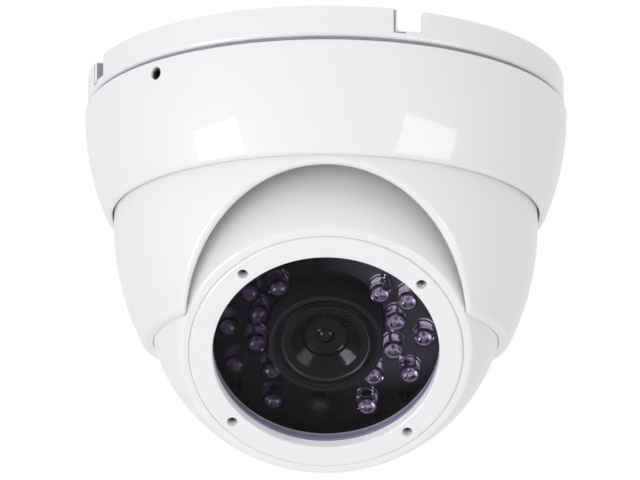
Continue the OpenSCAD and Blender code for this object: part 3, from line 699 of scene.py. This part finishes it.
def build_cover():
    """Cover: an arched side between two soft edges, a stepped inside, three lugs and the lock screw's hole."""
    radius, top, lowest = size_of("cover_ring")
    top, lip = top - SEAM_DROP, lowest + LIP_RISE
    centre = Vector((radius - COVER_CURVE, top))
    foot = -math.asin((top - lip) / COVER_CURVE)
    side = [Vector(p) for p in arc_points(centre, COVER_CURVE, -0.012, foot + 0.014, 26)]
    corner = Vector(arc_points(centre, COVER_CURVE, foot, foot, 1)[0])
    seam, rounding = sizes().seam_round / MM, sizes().lip_round / MM
    outline = [
        *bend(Vector((radius - seam, top)), Vector((radius, top)), side[0], 4), *side[1:-1],
        *bend(side[-1], corner, corner - Vector((rounding, 0)), 6),
        *bend(Vector((COVER_BORE + 0.2, lip)), Vector((COVER_BORE, lip)), Vector((COVER_BORE, lip + 0.2)), 3),
        *COVER_INSIDE, (COVER_INSIDE[-1][0], top)]
    hole = drum(*LOCK_HOLE, 0, 40)
    hole.transform(lock_place())
    shell = carved(lathe(outline, 240, math.radians(0.4)), [hole])
    return joined([shell, *(bayonet_lug(middle) for middle in LUG_TURNS)])


class DOME_OT_cover(bpy.types.Operator):
    """Make the cover ring and its lock screw"""

    bl_idname = "dome.cover"
    bl_label = "Cover ring"

    def execute(self, context):
        piece("cover_shell", build_cover(), "base", [gloss_paint()], ["cover_ring"])
        screw = lathe(LOCK_SCREW, 48, closed=False)
        hexagon(screw, lambda z, out: z > 57.3 and out < 0.9, 0.80)
        piece("lock_screw", screw, "base", [metal((0.045, 0.045, 0.05), "black_screw", 0.34)],
              ["cover_lock_screw"], lock_place())
        return {"FINISHED"}


# ---------------------------------------------------------------- turret


TURRET_R, TURRET_MID, TURRET_FOOT = 52.45, 50.07, 45.03    # straight part, at the tilt axis, at the rim
TURRET_WALL = 2.2
BALL_BORE = 44.42
ARCH_R, ARCH_DROP = 33.95, 0.65
CORNER_SOFT = 1.0
ARCH_WIDE = 30.0                                  # half width at which the edge is fully rounded
RIM_FADE = 12.0                                   # length of rim over which the cut face turns level
FAN = math.radians(82)                            # how far round the top the arch's columns spread
RIM_STEPS, CORNER_STEPS, ARCH_STEPS = 84, 9, 46
SIDE_ROWS, EDGE_ROWS, LINING_ROWS = 22, 8, 14


def arc_through(p, q, s):
    """Centre and radius of the circle through three points."""
    a, b = p - q, q - s
    c = (p.length_squared - q.length_squared) / 2
    d = (q.length_squared - s.length_squared) / 2
    k = a.x * b.y - a.y * b.x
    centre = Vector(((c * b.y - a.y * d) / k, (a.x * d - c * b.x) / k))
    return centre, (p - centre).length


def upright(radius, turn, z):
    """A point at an azimuth in radians, 0 at the front and positive towards +X."""
    return Vector((math.sin(turn) * radius, -math.cos(turn) * radius, z))


def turn_of(point):
    return math.atan2(point.x, -point.y)


class TurretForm:
    """The turret's outer and inner sides and the edge of its opening, in millimetres."""

    def __init__(self):
        self.flange, self.top, self.rim = size_of("turret_shell")
        self.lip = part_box("cover_ring")[0].z / MM
        self.neck = self.top - TURRET_WALL
        self.centre_z = BALL_CENTRE.z / MM
        self.centre, self.curve = arc_through(
            Vector((TURRET_R, self.lip)), Vector((TURRET_MID, self.centre_z)), Vector((TURRET_FOOT, self.rim)))
        self.arch_z = self.lip - ARCH_DROP - ARCH_R
        foot_x = math.sqrt(ARCH_R ** 2 - (self.rim - self.arch_z) ** 2)
        self.foot_turn = math.asin(foot_x / TURRET_FOOT)

    def side(self, z, depth=0.0):
        """Radius of the outer side, or of a side that lies deeper."""
        if z > self.lip:
            return TURRET_R - depth
        return self.centre.x + math.sqrt((self.curve - depth) ** 2 - (z - self.centre.y) ** 2)

    def inner(self, z):
        """Radius of the inner side, which leaves room for the ball."""
        room = BALL_BORE ** 2 - (z - self.centre_z) ** 2
        return max(self.side(z, TURRET_WALL), math.sqrt(room) if room > 0 and z < self.lip else 0)

    def on_side(self, point):
        """The point of the outer side at the same azimuth and height."""
        return upright(self.side(point.z), turn_of(point), point.z)

    def arch_point(self, angle):
        x, z = ARCH_R * math.cos(angle), self.arch_z + ARCH_R * math.sin(angle)
        return Vector((x, -math.sqrt(self.side(z) ** 2 - x * x), z))

    def on_arch(self, point):
        return point.z > self.rim + 0.4

    def edge(self):
        """Points of the sharp outer edge, from the back round by +X, over the arch and back by -X."""
        rim_end = self.foot_turn + CORNER_SOFT / TURRET_FOOT
        arch_end = math.asin((self.rim - self.arch_z) / ARCH_R) + CORNER_SOFT / ARCH_R
        half = [upright(TURRET_FOOT, math.pi + (rim_end - math.pi) * i / RIM_STEPS, self.rim)
                for i in range(RIM_STEPS + 1)]
        corner = upright(TURRET_FOOT, self.foot_turn, self.rim)
        half += [self.on_side(p) for p in bend(half[-1], corner, self.arch_point(arch_end), CORNER_STEPS)[1:-1]]
        half += [self.arch_point(arch_end + (math.pi / 2 - arch_end) * i / ARCH_STEPS)
                 for i in range(ARCH_STEPS + 1)]
        return half + [Vector((-p.x, p.y, p.z)) for p in reversed(half[1:-1])]

    def along_rim(self, point):
        """0 on the arch and at its foot, 1 on the rim at some way from it."""
        if self.on_arch(point):
            return 0.0
        return min(1.0, max(0.0, (abs(turn_of(point)) - self.foot_turn) * TURRET_FOOT / RIM_FADE))

    def inner_edge(self, point):
        """Where the wall's cut face reaches the inner side: straight back at the arch, level round the rim."""
        radius = self.inner(point.z)
        level = upright(radius, turn_of(point), point.z)
        if point.y > 0:
            return level
        back = Vector((point.x, -math.sqrt(max(radius ** 2 - point.x ** 2, 0.0))))
        share = self.along_rim(point)
        mixed = back.lerp(level.xy, share * share * (3 - 2 * share)).normalized() * radius
        return Vector((*mixed, point.z))

    def top_turn(self, point):
        """Azimuth at the top of the column that ends at a point of the edge: the arch's columns fan out."""
        turn = turn_of(point)
        if self.on_arch(point) or abs(turn) < self.foot_turn:
            return turn / self.foot_turn * FAN
        share = (abs(turn) - self.foot_turn) / (math.pi - self.foot_turn)
        return math.copysign(FAN + share * (math.pi - FAN), turn)

    def column_part(self, radius, end, top_turn, shares):
        """Points at shares of the way from the top to an end, on the side whose radius is given."""
        end_turn = turn_of(end)
        if abs(end_turn - top_turn) > math.pi:
            end_turn += math.copysign(2 * math.pi, top_turn)
        points = []
        for share in shares:
            z = self.top + (end.z - self.top) * share
            points.append(upright(radius(z), top_turn + (end_turn - top_turn) * share, z))
        return points

    def column(self, behind, here, ahead):
        """Three points of the flange, and the points down the side, round the soft edge and up the lining."""
        slope = (self.side(here.z + 0.1) - self.side(here.z - 0.1)) / 0.2
        flat = Vector((here.x, here.y, 0)).normalized()
        away = Vector((flat.x, flat.y, -slope)).cross(behind - ahead).normalized()
        foot, top, rim = (getattr(sizes(), name) / MM for name in ("arch_round", "arch_top_round", "foot_round"))
        # the edge is rounder towards the foot of the arch, and goes over into the rim's rounding beyond it
        if self.on_arch(here):
            reach = top + (foot - top) * min(1.0, abs(here.x) / ARCH_WIDE) ** 1.5
        else:
            reach = foot + (rim - foot) * min(1.0, 2.5 * self.along_rim(here))
        lift, guard = self.on_side(here + away * reach), self.on_side(here + away * (reach + 0.5))
        inner = self.inner_edge(here)
        face = inner - here
        soft = bend(lift, here, here + face.normalized() * min(reach, face.length * 0.72), EDGE_ROWS)
        turn = self.top_turn(here)
        flange = [upright(radius, turn, z) for radius, z in (
            (self.flange, self.top), (self.flange, self.neck), (TURRET_R, self.neck))]
        rows = self.column_part(self.side, guard, turn, [k / SIDE_ROWS for k in range(SIDE_ROWS)])
        lining = self.column_part(self.inner, inner, turn, [1 - k / LINING_ROWS for k in range(1, LINING_ROWS + 1)])
        below_neck = [point for point in rows if point.z < self.neck - 0.3]
        return flange, [*below_neck, guard, *soft, inner.lerp(here, 0.12), inner, *lining]


def build_turret():
    """Hooded turret: one closed sheet whose rows run from the flange down to the soft edge of its opening."""
    form = TurretForm()
    edge = form.edge()
    count = len(edge)
    columns = [form.column(edge[i - 1], edge[i], edge[(i + 1) % count]) for i in range(count)]
    kept = min(len(rest) for flange, rest in columns)
    columns = [flange + rest[-kept:] for flange, rest in columns]
    length = len(columns[0])
    bm = bmesh.new()
    bmesh.ops.create_grid(bm, x_segments=count, y_segments=length, size=1.0)
    in_order = sorted(bm.verts, key=lambda vert: (round(vert.co.x, 6), round(vert.co.y, 6)))
    for number, vert in enumerate(in_order):
        i, j = divmod(number, length + 1)
        vert.co = columns[i % count][j % length] * MM
    bmesh.ops.remove_doubles(bm, verts=bm.verts[:], dist=1e-7)
    bmesh.ops.dissolve_degenerate(bm, edges=bm.edges[:], dist=1e-7)
    bmesh.ops.recalc_face_normals(bm, faces=bm.faces[:])
    return bm


class DOME_OT_turret(bpy.types.Operator):
    """Make the hooded turret"""

    bl_idname = "dome.turret"
    bl_label = "Turret"

    def execute(self, context):
        piece("turret_hood", build_turret(), "turret", [gloss_paint()], ["turret_shell"], limit=50.0)
        return {"FINISHED"}


# ---------------------------------------------------------------- ball, bezel and window


# heights are in the ball's own frame, whose lens axis points along -Z
BALL_R, BALL_INSIDE = 44.3, 41.9
BRIM_Z = 8.0                                      # rear edge of the front half
FACE_Z, FACE_R = -26.7, 35.35
BEZEL_R, BEZEL_Z = 33.2, -27.2
BEZEL_SCREW_RING = 30.35
WINDOW_R = 27.5
GLASS_Z, GLASS_BACK, GLASS_R = -24.2, -23.2, 28.3
BORE_R, POCKET_R, GASKET_BACK = 27.7, 28.5, -21.2
LINING_Z = -20.8                                  # the bore is black from here back
SHELF_Z, SHELF_R = -18.7, 36.0                    # back of the shelf that holds the window


class DOME_OT_ball(bpy.types.Operator):
    """Make the ball's front half, with the pocket for window and bezel"""

    bl_idname = "dome.ball"
    bl_label = "Ball"

    def execute(self, context):
        rounding = sizes().face_round / MM
        edge_turn = math.atan2(FACE_Z, FACE_R)
        reach = rounding * math.tan((math.pi / 2 + edge_turn) / 2)
        brim_turn = math.asin(BRIM_Z / BALL_R)
        sphere = [Vector(p) for p in arc_points((0, 0), BALL_R, brim_turn, edge_turn + reach / BALL_R, 44)]
        soft = bend(sphere[-1], Vector((FACE_R, FACE_Z)), Vector((FACE_R - reach, FACE_Z)), 7)
        seam = BEZEL_R + 0.17
        pocket = soft_outline([
            (40, FACE_Z), (seam, FACE_Z, 0.14), (seam, FACE_Z + 0.3), (BEZEL_R + 0.02, FACE_Z + 0.3),
            (BEZEL_R + 0.02, GLASS_Z), (POCKET_R, GLASS_Z), (POCKET_R, GASKET_BACK), (BORE_R, GASKET_BACK, 0.25),
            (BORE_R, LINING_Z), (BORE_R, SHELF_Z), (SHELF_R, SHELF_Z)], 3)[1:]
        inside = arc_points((0, 0), BALL_INSIDE, -0.46, math.asin(BRIM_Z / BALL_INSIDE), 20)
        brim = sphere[0]
        bm = lathe([
            brim - Vector((0.4, 0)), *bend(brim - Vector((0.3, 0)), brim, sphere[1], 3)[:-1], *sphere[1:-1],
            *soft, (FACE_R - reach - 0.3, FACE_Z), *pocket, *inside], 240)
        paint_faces(bm, lambda centre: centre.length < BALL_R - 1.2 and centre.z > LINING_Z, 1)
        piece("ball_shell", bm, "ball", [gloss_paint(), plastic("black_lining", (0.006, 0.006, 0.006), 0.5, 0.15)],
              ["ball_front"], ball_place())
        return {"FINISHED"}


def bezel_hole():
    """What a screw hole takes from the bezel, with a soft mouth."""
    flare = bend(Vector((1.25, BEZEL_Z + 0.22)), Vector((1.25, BEZEL_Z)), Vector((1.47, BEZEL_Z)), 4)
    return lathe([(0, GLASS_Z + 1), (1.25, GLASS_Z + 1), *flare, (1.47, BEZEL_Z - 1), (0, BEZEL_Z - 1)], 40,
                 closed=False)


def bezel_screw():
    """Sunk screw with a hexagon socket in its head."""
    outline = ((0, 1.1), (0.62, 0.95), (0.66, 0.12), (0.80, 0.02), (0.98, 0.04), (1.15, 0.22), (1.15, 5.8), (0, 5.8))
    head = BEZEL_Z + 1.8
    bm = lathe([(r, head + z) for r, z in outline], 48, closed=False)
    hexagon(bm, lambda z, out: z < head + 1.0 and 0.001 < out < 0.7, 0.60)
    return bm


class DOME_OT_bezel(bpy.types.Operator):
    """Make the bezel ring with its four sunk screws"""

    bl_idname = "dome.bezel"
    bl_label = "Bezel"

    def execute(self, context):
        rounding = sizes().bezel_round / MM
        outline = soft_outline([
            (WINDOW_R, GLASS_Z, 0.1), (WINDOW_R, BEZEL_Z, rounding), (BEZEL_R, BEZEL_Z, 1.3 * rounding),
            (BEZEL_R, GLASS_Z)], 5)
        places = [ring_place(BEZEL_SCREW_RING, 45 + 90 * k) for k in range(4)]
        ring = carved(lathe(outline, 240, math.radians(0.35)), [copies(bezel_hole, places)])
        piece("bezel", ring, "ball", [gloss_paint()], ["bezel_ring"], ball_place())
        piece("bezel_fixings", copies(bezel_screw, places), "ball", [metal((0.22, 0.22, 0.24), "dull_screw", 0.45)],
              ["bezel_screws"], ball_place())
        return {"FINISHED"}


class DOME_OT_window(bpy.types.Operator):
    """Make the window glass and its gasket"""

    bl_idname = "dome.window"
    bl_label = "Window"

    def execute(self, context):
        low, high, ground = GLASS_Z, GLASS_BACK, 0.3
        disc = [(0, low), (GLASS_R - ground, low), (GLASS_R, low + ground), (GLASS_R, high - ground),
                (GLASS_R - ground, high), (0, high)]
        piece("window_disc", lathe(disc, 128, closed=False), "ball", [window_pane()], ["window_glass"],
              ball_place())
        back, outer = GASKET_BACK - 0.05, POCKET_R - 0.05
        ring = soft_outline([(BORE_R, high, 0.2), (BORE_R, back, 0.2), (outer, back, 0.1), (outer, high, 0.1)], 3)
        # the gasket's pale violet is partly painted reflection of the window's coating
        piece("gasket", lathe(ring, 160), "ball", [rubber("gasket")], ["window_gasket"],
              ball_place())
        return {"FINISHED"}


# ---------------------------------------------------------------- lamps


LAMP_R, LAMP_H = 2.5, 7.2
LAMP_FOOT = ((0, 0.05), (2.75, 0.05), (2.9, 0.2), (2.9, 0.85), (2.75, 1.0), (2.56, 1.02), (LAMP_R, 1.15))
CUP = ((0, 4.0), (0.8, 4.0), (1.32, 5.2), (1.30, 5.32), (1.18, 5.32), (0.62, 4.62), (0, 4.58))
# middle, width, low end and high end of each leg
LEGS = ((0.0, 1.5, 2.6, 4.1), (0.85, 0.5, 0.2, 2.8), (-1.25, 0.5, 0.2, 3.4), (-1.65, 0.55, 3.2, 5.1))
WIRE = ((0.0, 4.84), (-0.15, 5.5), (-0.7, 5.85), (-1.3, 5.7), (-1.6, 5.1))
SQUAT = Matrix.Diagonal((1, 1, 0.84, 1))          # brings the inner metal down to the lamp's height
BOARD_Z = -12.9
# ring and angle of the lamps on the +X side; those on the other side mirror them
LAMP_SPOTS = ((17.3, 44), (17.3, 14), (17.3, -14), (17.3, -44), (23.9, 0), (23.9, -27), (23.9, -61), (21.7, 28))
SENSOR = ((0, 0), (2.0, 0), (2.0, 3.0), (2.35, 3.0), (2.5, 3.15), (2.5, 4.3), (2.2, 4.6), (1.7, 4.6), (0, 4.75))
SENSOR_RING, SENSOR_EYE = 22.2, 1.7
TO_WINDOW = Matrix.Rotation(math.pi, 4, "X")


def lamp_places():
    """Every lamp's place, its own +Z towards the window, each turned its own way."""
    places = []
    for side in (1, -1):
        for ring, angle in LAMP_SPOTS:
            turn = math.radians(angle)
            spot = Vector((side * ring * math.cos(turn), -ring * math.sin(turn), BOARD_Z)) * MM
            own_way = Matrix.Rotation(math.radians(37 * ring + 11 * angle), 4, "Z")
            places.append(Matrix.Translation(spot) @ TO_WINDOW @ own_way)
    return places


def lamp_body():
    """A cast lamp: foot, straight side and dome."""
    dome = arc_points((0, LAMP_H - LAMP_R), LAMP_R, 0.0, math.pi / 2, 12)
    return lathe([*LAMP_FOOT, *dome[:-1], (0, LAMP_H)], 40, closed=False)


def lamp_frame():
    """The metal legs inside a lamp, and the mirrored cup that holds the chip."""
    legs = [bar((width, 0.5, high - low), (x, 0, (low + high) / 2), 0.08) for x, width, low, high in LEGS]
    whole = joined([lathe(CUP, 24, closed=False), *legs])
    whole.transform(SQUAT)
    return whole


def lamp_chip():
    """The chip in the cup and the thin wire from it to the other leg."""
    wire = bmesh.new()
    points = [wire.verts.new(Vector((x, -0.03, z)) * MM) for x, z in WIRE]
    edges = [wire.edges.new(pair) for pair in zip(points, points[1:])]
    side = bmesh.ops.extrude_edge_only(wire, edges=edges)["geom"]
    bmesh.ops.translate(wire, verts=[part for part in side if isinstance(part, bmesh.types.BMVert)],
                        vec=(0, 0.06 * MM, 0))
    bmesh.ops.solidify(wire, geom=wire.faces[:], thickness=0.05 * MM)
    whole = joined([bar((0.42, 0.42, 0.24), (0, 0, 4.72)), wire])
    whole.transform(SQUAT)
    return whole


class DOME_OT_lamps(bpy.types.Operator):
    """Make the infrared lamps with their inner metal, and the light sensor"""

    bl_idname = "dome.lamps"
    bl_label = "Lamps"

    def execute(self, context):
        places = lamp_places()
        piece("lamp_bodies", copies(lamp_body, places), "ball", [clear_resin()], ["ir_leds"], ball_place())
        piece("lamp_frames", copies(lamp_frame, places), "ball",
              [metal((0.78, 0.72, 0.84), "lamp_metal", 0.03, 0.04)], (), ball_place())
        piece("lamp_chips", copies(lamp_chip, places), "ball",
              [metal((0.40, 0.32, 0.32), "lamp_gold", 0.15)], (), ball_place())
        sensor = lathe(SENSOR, 40, closed=False)
        paint_faces(sensor, lambda centre: centre.xy.length < SENSOR_EYE and centre.z > 4.2, 1)
        piece("day_sensor", sensor, "ball", [
            plastic("sensor_case", (0.006, 0.006, 0.006), 0.4, 0.15),
            dark_resin("sensor_resin", (0.016, 0.004, 0.004))], ["light_sensor"],
            ball_place() @ ring_place(SENSOR_RING, 90, BOARD_Z) @ TO_WINDOW)
        return {"FINISHED"}


# ---------------------------------------------------------------- lens


# out from the lens axis, height, and the rounding of the corner
HOOD = (
    (11.55, -15.1), (13.9, -15.1, 0.3), (13.9, -23.1, 0.45), (12.9, -23.1, 0.3), (12.5, -22.4, 0.15),
    (12.25, -22.3), (12.25, -21.5), (11.55, -21.5))
RINGS = (
    (12.0, -21.55), (12.0, -22.7, 0.12), (11.75, -22.7, 0.08), (11.65, -22.5), (11.5, -22.7, 0.08),
    (11.3, -22.7, 0.08), (11.2, -22.5), (11.05, -22.75, 0.1), (10.6, -22.75, 0.08), (10.3, -22.3, 0.08),
    (8.5, -22.05, 0.12), (5.55, -20.05, 0.08), (5.75, -19.85), (8.45, -21.55))
DOME_TIP, DOME_R = -20.2, 2.6
STEP_Z = -18.85
# the flange behind the dome closes the gap to the rings
FLANGE = ((5.5, -19.55), (5.5, -19.15), (7.2, -19.15), (7.2, -17.9), (0, -17.9))


class DOME_OT_lens(bpy.types.Operator):
    """Make the rubber hood, the front rings of the lens and its glass"""

    bl_idname = "dome.lens"
    bl_label = "Lens"

    def execute(self, context):
        piece("hood", lathe(soft_outline(HOOD, 4), 128), "ball", [rubber()], ["lens_hood"],
              ball_place())
        rings = lathe(soft_outline(RINGS, 4), 128)
        # the slanted face at the front of the rings gets a paler metal, which draws a thin pale line round the lens
        paint_faces(rings, lambda centre: 10.3 < centre.xy.length < 10.62 and centre.z < -22.25, 1)
        piece("lens_rings", rings, "ball",
              [plastic("satin_black", (0.006, 0.009, 0.007), 0.07, 0.13),
               metal((0.22, 0.24, 0.22), "worn_edge", 0.2)], (), ball_place())
        dome = arc_points((0, DOME_TIP + DOME_R), DOME_R, -math.pi / 2, math.radians(-32), 14)
        lip = bend(Vector((4.4, STEP_Z)), Vector((5.3, STEP_Z)), Vector((5.4, -19.5)), 5)
        front = lathe([(0, DOME_TIP), *dome[1:], (2.5, STEP_Z), *lip, *FLANGE], 96, closed=False)
        piece("front_glass", front, "focus_group", [dark_glass()], ["front_lens"], ball_place())
        return {"FINISHED"}


class DOME_OT_inner_parts(bpy.types.Operator):
    """Put a finish on every part that keeps its own shape"""

    bl_idname = "dome.inner_parts"
    bl_label = "Inner parts"

    def execute(self, context):
        groups = {
            gloss_paint(): "ball_rear_shell",
            rubber(): "pan_friction_ring ball_seal neck_plug",
            metal("steel", "plated_steel"):
                "pan_stop_pin pan_frame tilt_yoke tilt_pins tilt_pin_clips roll_stop_pin module_plate ball_screws",
            metal((0.16, 0.16, 0.17), "dark_zinc", 0.30): "pan_frame_screws plate_screws board_screws",
            metal("brass", "turned_brass", 0.24): "board_spacers neck_nut",
            metal((0.035, 0.035, 0.038), "black_anodised", 0.34): "focus_cell zoom_cell board_posts",
            plastic("nylon", "nylon", 0.48): "pan_slip_ring tilt_bushes roll_washers board_sockets",
            plastic("chip_black", (0.02, 0.02, 0.022), 0.55): "image_sensor video_chip",
            plastic("lens_black", (0.013, 0.013, 0.014), 0.38):
                "lens_barrel lens_mount focus_ring focus_lever zoom_ring zoom_lever",
            solder_mask(): "led_board sensor_board main_board",
            coated_glass(): "rear_lens",
            dark_resin("filter_glass", (0.16, 0.02, 0.03)): "ir_filter",
        }
        for material, names in groups.items():
            for name in names.split():
                coat_node(name, material)
        bare = [name for name, node in frame["nodes"].items() if not node.hide_render
                and not (node.material_slots and {slot.material for slot in node.material_slots} <= set(groups))]
        if bare:
            raise RuntimeError(f"these nodes have no finish: {bare}")
        return {"FINISHED"}


# ---------------------------------------------------------------- stage


CAMERA_AT = (0.0, -1.14994, -0.37800)
CAMERA_WAY = (-0.0012275, 0.95962, 0.28130)
CAMERA_LENS = 272.2
FLOOR_DROP, FLOOR_SIZE = 1.8, 12.0
FLOOR_GLOW = 0.6
SKY_LEVEL, OVERHEAD = 0.585, 2.1
COOL, WARM, WHITE = (0.985, 0.965, 1.05), (1.0, 0.955, 0.895), (1.0, 1.0, 1.0)


def soft_box(name, azimuth, height, distance, size, power, shade):
    """A square studio lamp that faces the dome; azimuth 0 is the front, positive towards +X."""
    data = bpy.data.lights.new(name, "AREA")
    data.shape, data.size, data.size_y = "RECTANGLE", *size
    data.energy, data.color = power, shade
    lamp = bpy.data.objects.new(name, data)
    turn, rise = math.radians(azimuth), math.radians(height)
    way = Vector((math.sin(turn) * math.cos(rise), -math.cos(turn) * math.cos(rise), math.sin(rise)))
    lamp.location = (AT_REST[0] + AT_REST[1]) / 2 + way * distance
    lamp.rotation_euler = way.to_track_quat("Z", "Y").to_euler()
    bpy.context.scene.collection.objects.link(lamp)
    return lamp


def seen_ray(look):
    """1 for what is seen, straight or in gloss and glass, and 0 for what only lights."""
    seen = look.node("LightPath", output="Is Camera Ray")
    for ray in ("Is Glossy Ray", "Is Transmission Ray"):
        seen = seen.maths("MAXIMUM", look.node("LightPath", output=ray))
    return seen


def make_camera():
    data = bpy.data.cameras.new("view")
    data.lens, data.sensor_width = CAMERA_LENS, 36.0
    data.clip_start, data.clip_end = 0.01, 50.0
    camera = bpy.data.objects.new("view", data)
    camera.location = CAMERA_AT
    camera.rotation_euler = Vector(CAMERA_WAY).to_track_quat("-Z", "Y").to_euler()
    bpy.context.scene.collection.objects.link(camera)
    bpy.context.scene.camera = camera


def make_floor():
    """A pale floor far below the dome, which glows a little where it is seen."""
    plane = bmesh.new()
    bmesh.ops.create_grid(plane, x_segments=1, y_segments=1, size=FLOOR_SIZE)
    plane.transform(Matrix.Translation((0, 0, AT_REST[0].z - FLOOR_DROP)))
    floor = as_object("floor", plane)
    f = finish("pale_floor")
    pale = f.solid(Base_Color=f.blend(f.noise(3.0), (0.88, 0.88, 0.88, 1), (0.92, 0.92, 0.92, 1)), Roughness=0.7)
    glow = f.node("Emission", {}, {"Color": (*WHITE, 1), "Strength": 1.0})
    floor.data.materials.append(f.done(f.layered(seen_ray(f) * FLOOR_GLOW, pale, glow)))


def make_surroundings():
    """White where it is seen; as light, cool from -X, warm from +X and strongest from overhead."""
    world = bpy.data.worlds.new("studio")
    bpy.context.scene.world = world
    w = Finish(world)

    def sky(shade, level):
        return w.node("Background", {}, {"Color": (*shade, 1), "Strength": level})

    way = w.node("TexCoord", output="Generated")
    rise = w.part(way, "Z").clamped()
    sides = w.layered(w.part(way, "X") * 0.5 + 0.5, sky(COOL, SKY_LEVEL), sky(WARM, SKY_LEVEL))
    light = w.layered(rise * rise, sides, sky(WHITE, OVERHEAD * SKY_LEVEL))
    w.done(w.layered(seen_ray(w), light, sky(WHITE, 1.0)))


class DOME_OT_stage(bpy.types.Operator):
    """Make the camera, the floor, the lamps and the white surroundings"""

    bl_idname = "dome.stage"
    bl_label = "Stage"

    def execute(self, context):
        context.scene.view_settings.view_transform = "Standard"
        make_camera()
        make_floor()
        make_surroundings()
        left = soft_box("left_softbox", -55, -21, 1.0, (0.42, 0.40), 12.0, WHITE)
        right = soft_box("right_softbox", 51.5, -21, 1.0, (0.50, 0.42), 5.0, (1.0, 0.99, 0.97))
        fill = soft_box("front_fill", -26, -15, 1.3, (0.9, 0.9), 5.2, (0.99, 0.985, 1.02))
        left.visible_diffuse = right.visible_diffuse = fill.visible_glossy = False
        return {"FINISHED"}


# ---------------------------------------------------------------- add-on


class DOME_PT_panel(bpy.types.Panel):
    bl_idname = "DOME_PT_panel"
    bl_label = "Dome camera"
    bl_space_type = "VIEW_3D"
    bl_region_type = "UI"
    bl_category = "Dome camera"

    def draw(self, context):
        for group in (context.scene.dome_sizes, context.scene.dome_colours):
            box = self.layout.box()
            for name in group.__annotations__:
                box.prop(group, name)
        for operator in OPERATORS:
            self.layout.operator(operator.bl_idname)


OPERATORS = (DOME_OT_stage, DOME_OT_base, DOME_OT_cover, DOME_OT_turret, DOME_OT_ball, DOME_OT_bezel,
             DOME_OT_window, DOME_OT_lamps, DOME_OT_lens, DOME_OT_inner_parts)
CLASSES = (DomeSizes, DomeColours, *OPERATORS, DOME_PT_panel)


def register():
    for cls in CLASSES:
        bpy.utils.register_class(cls)
    bpy.types.Scene.dome_sizes = bpy.props.PointerProperty(type=DomeSizes)
    bpy.types.Scene.dome_colours = bpy.props.PointerProperty(type=DomeColours)


def unregister():
    del bpy.types.Scene.dome_colours
    del bpy.types.Scene.dome_sizes
    for cls in reversed(CLASSES):
        bpy.utils.unregister_class(cls)


def main():
    """Registers the add-on and builds the stage and every piece."""
    register()
    bpy.ops.dome.stage()
    bpy.ops.dome.base()
    bpy.ops.dome.cover()
    bpy.ops.dome.turret()
    bpy.ops.dome.ball()
    bpy.ops.dome.bezel()
    bpy.ops.dome.window()
    bpy.ops.dome.lamps()
    bpy.ops.dome.lens()
    bpy.ops.dome.inner_parts()
    bpy.context.view_layer.update()


if __name__ == "__main__":
    main()
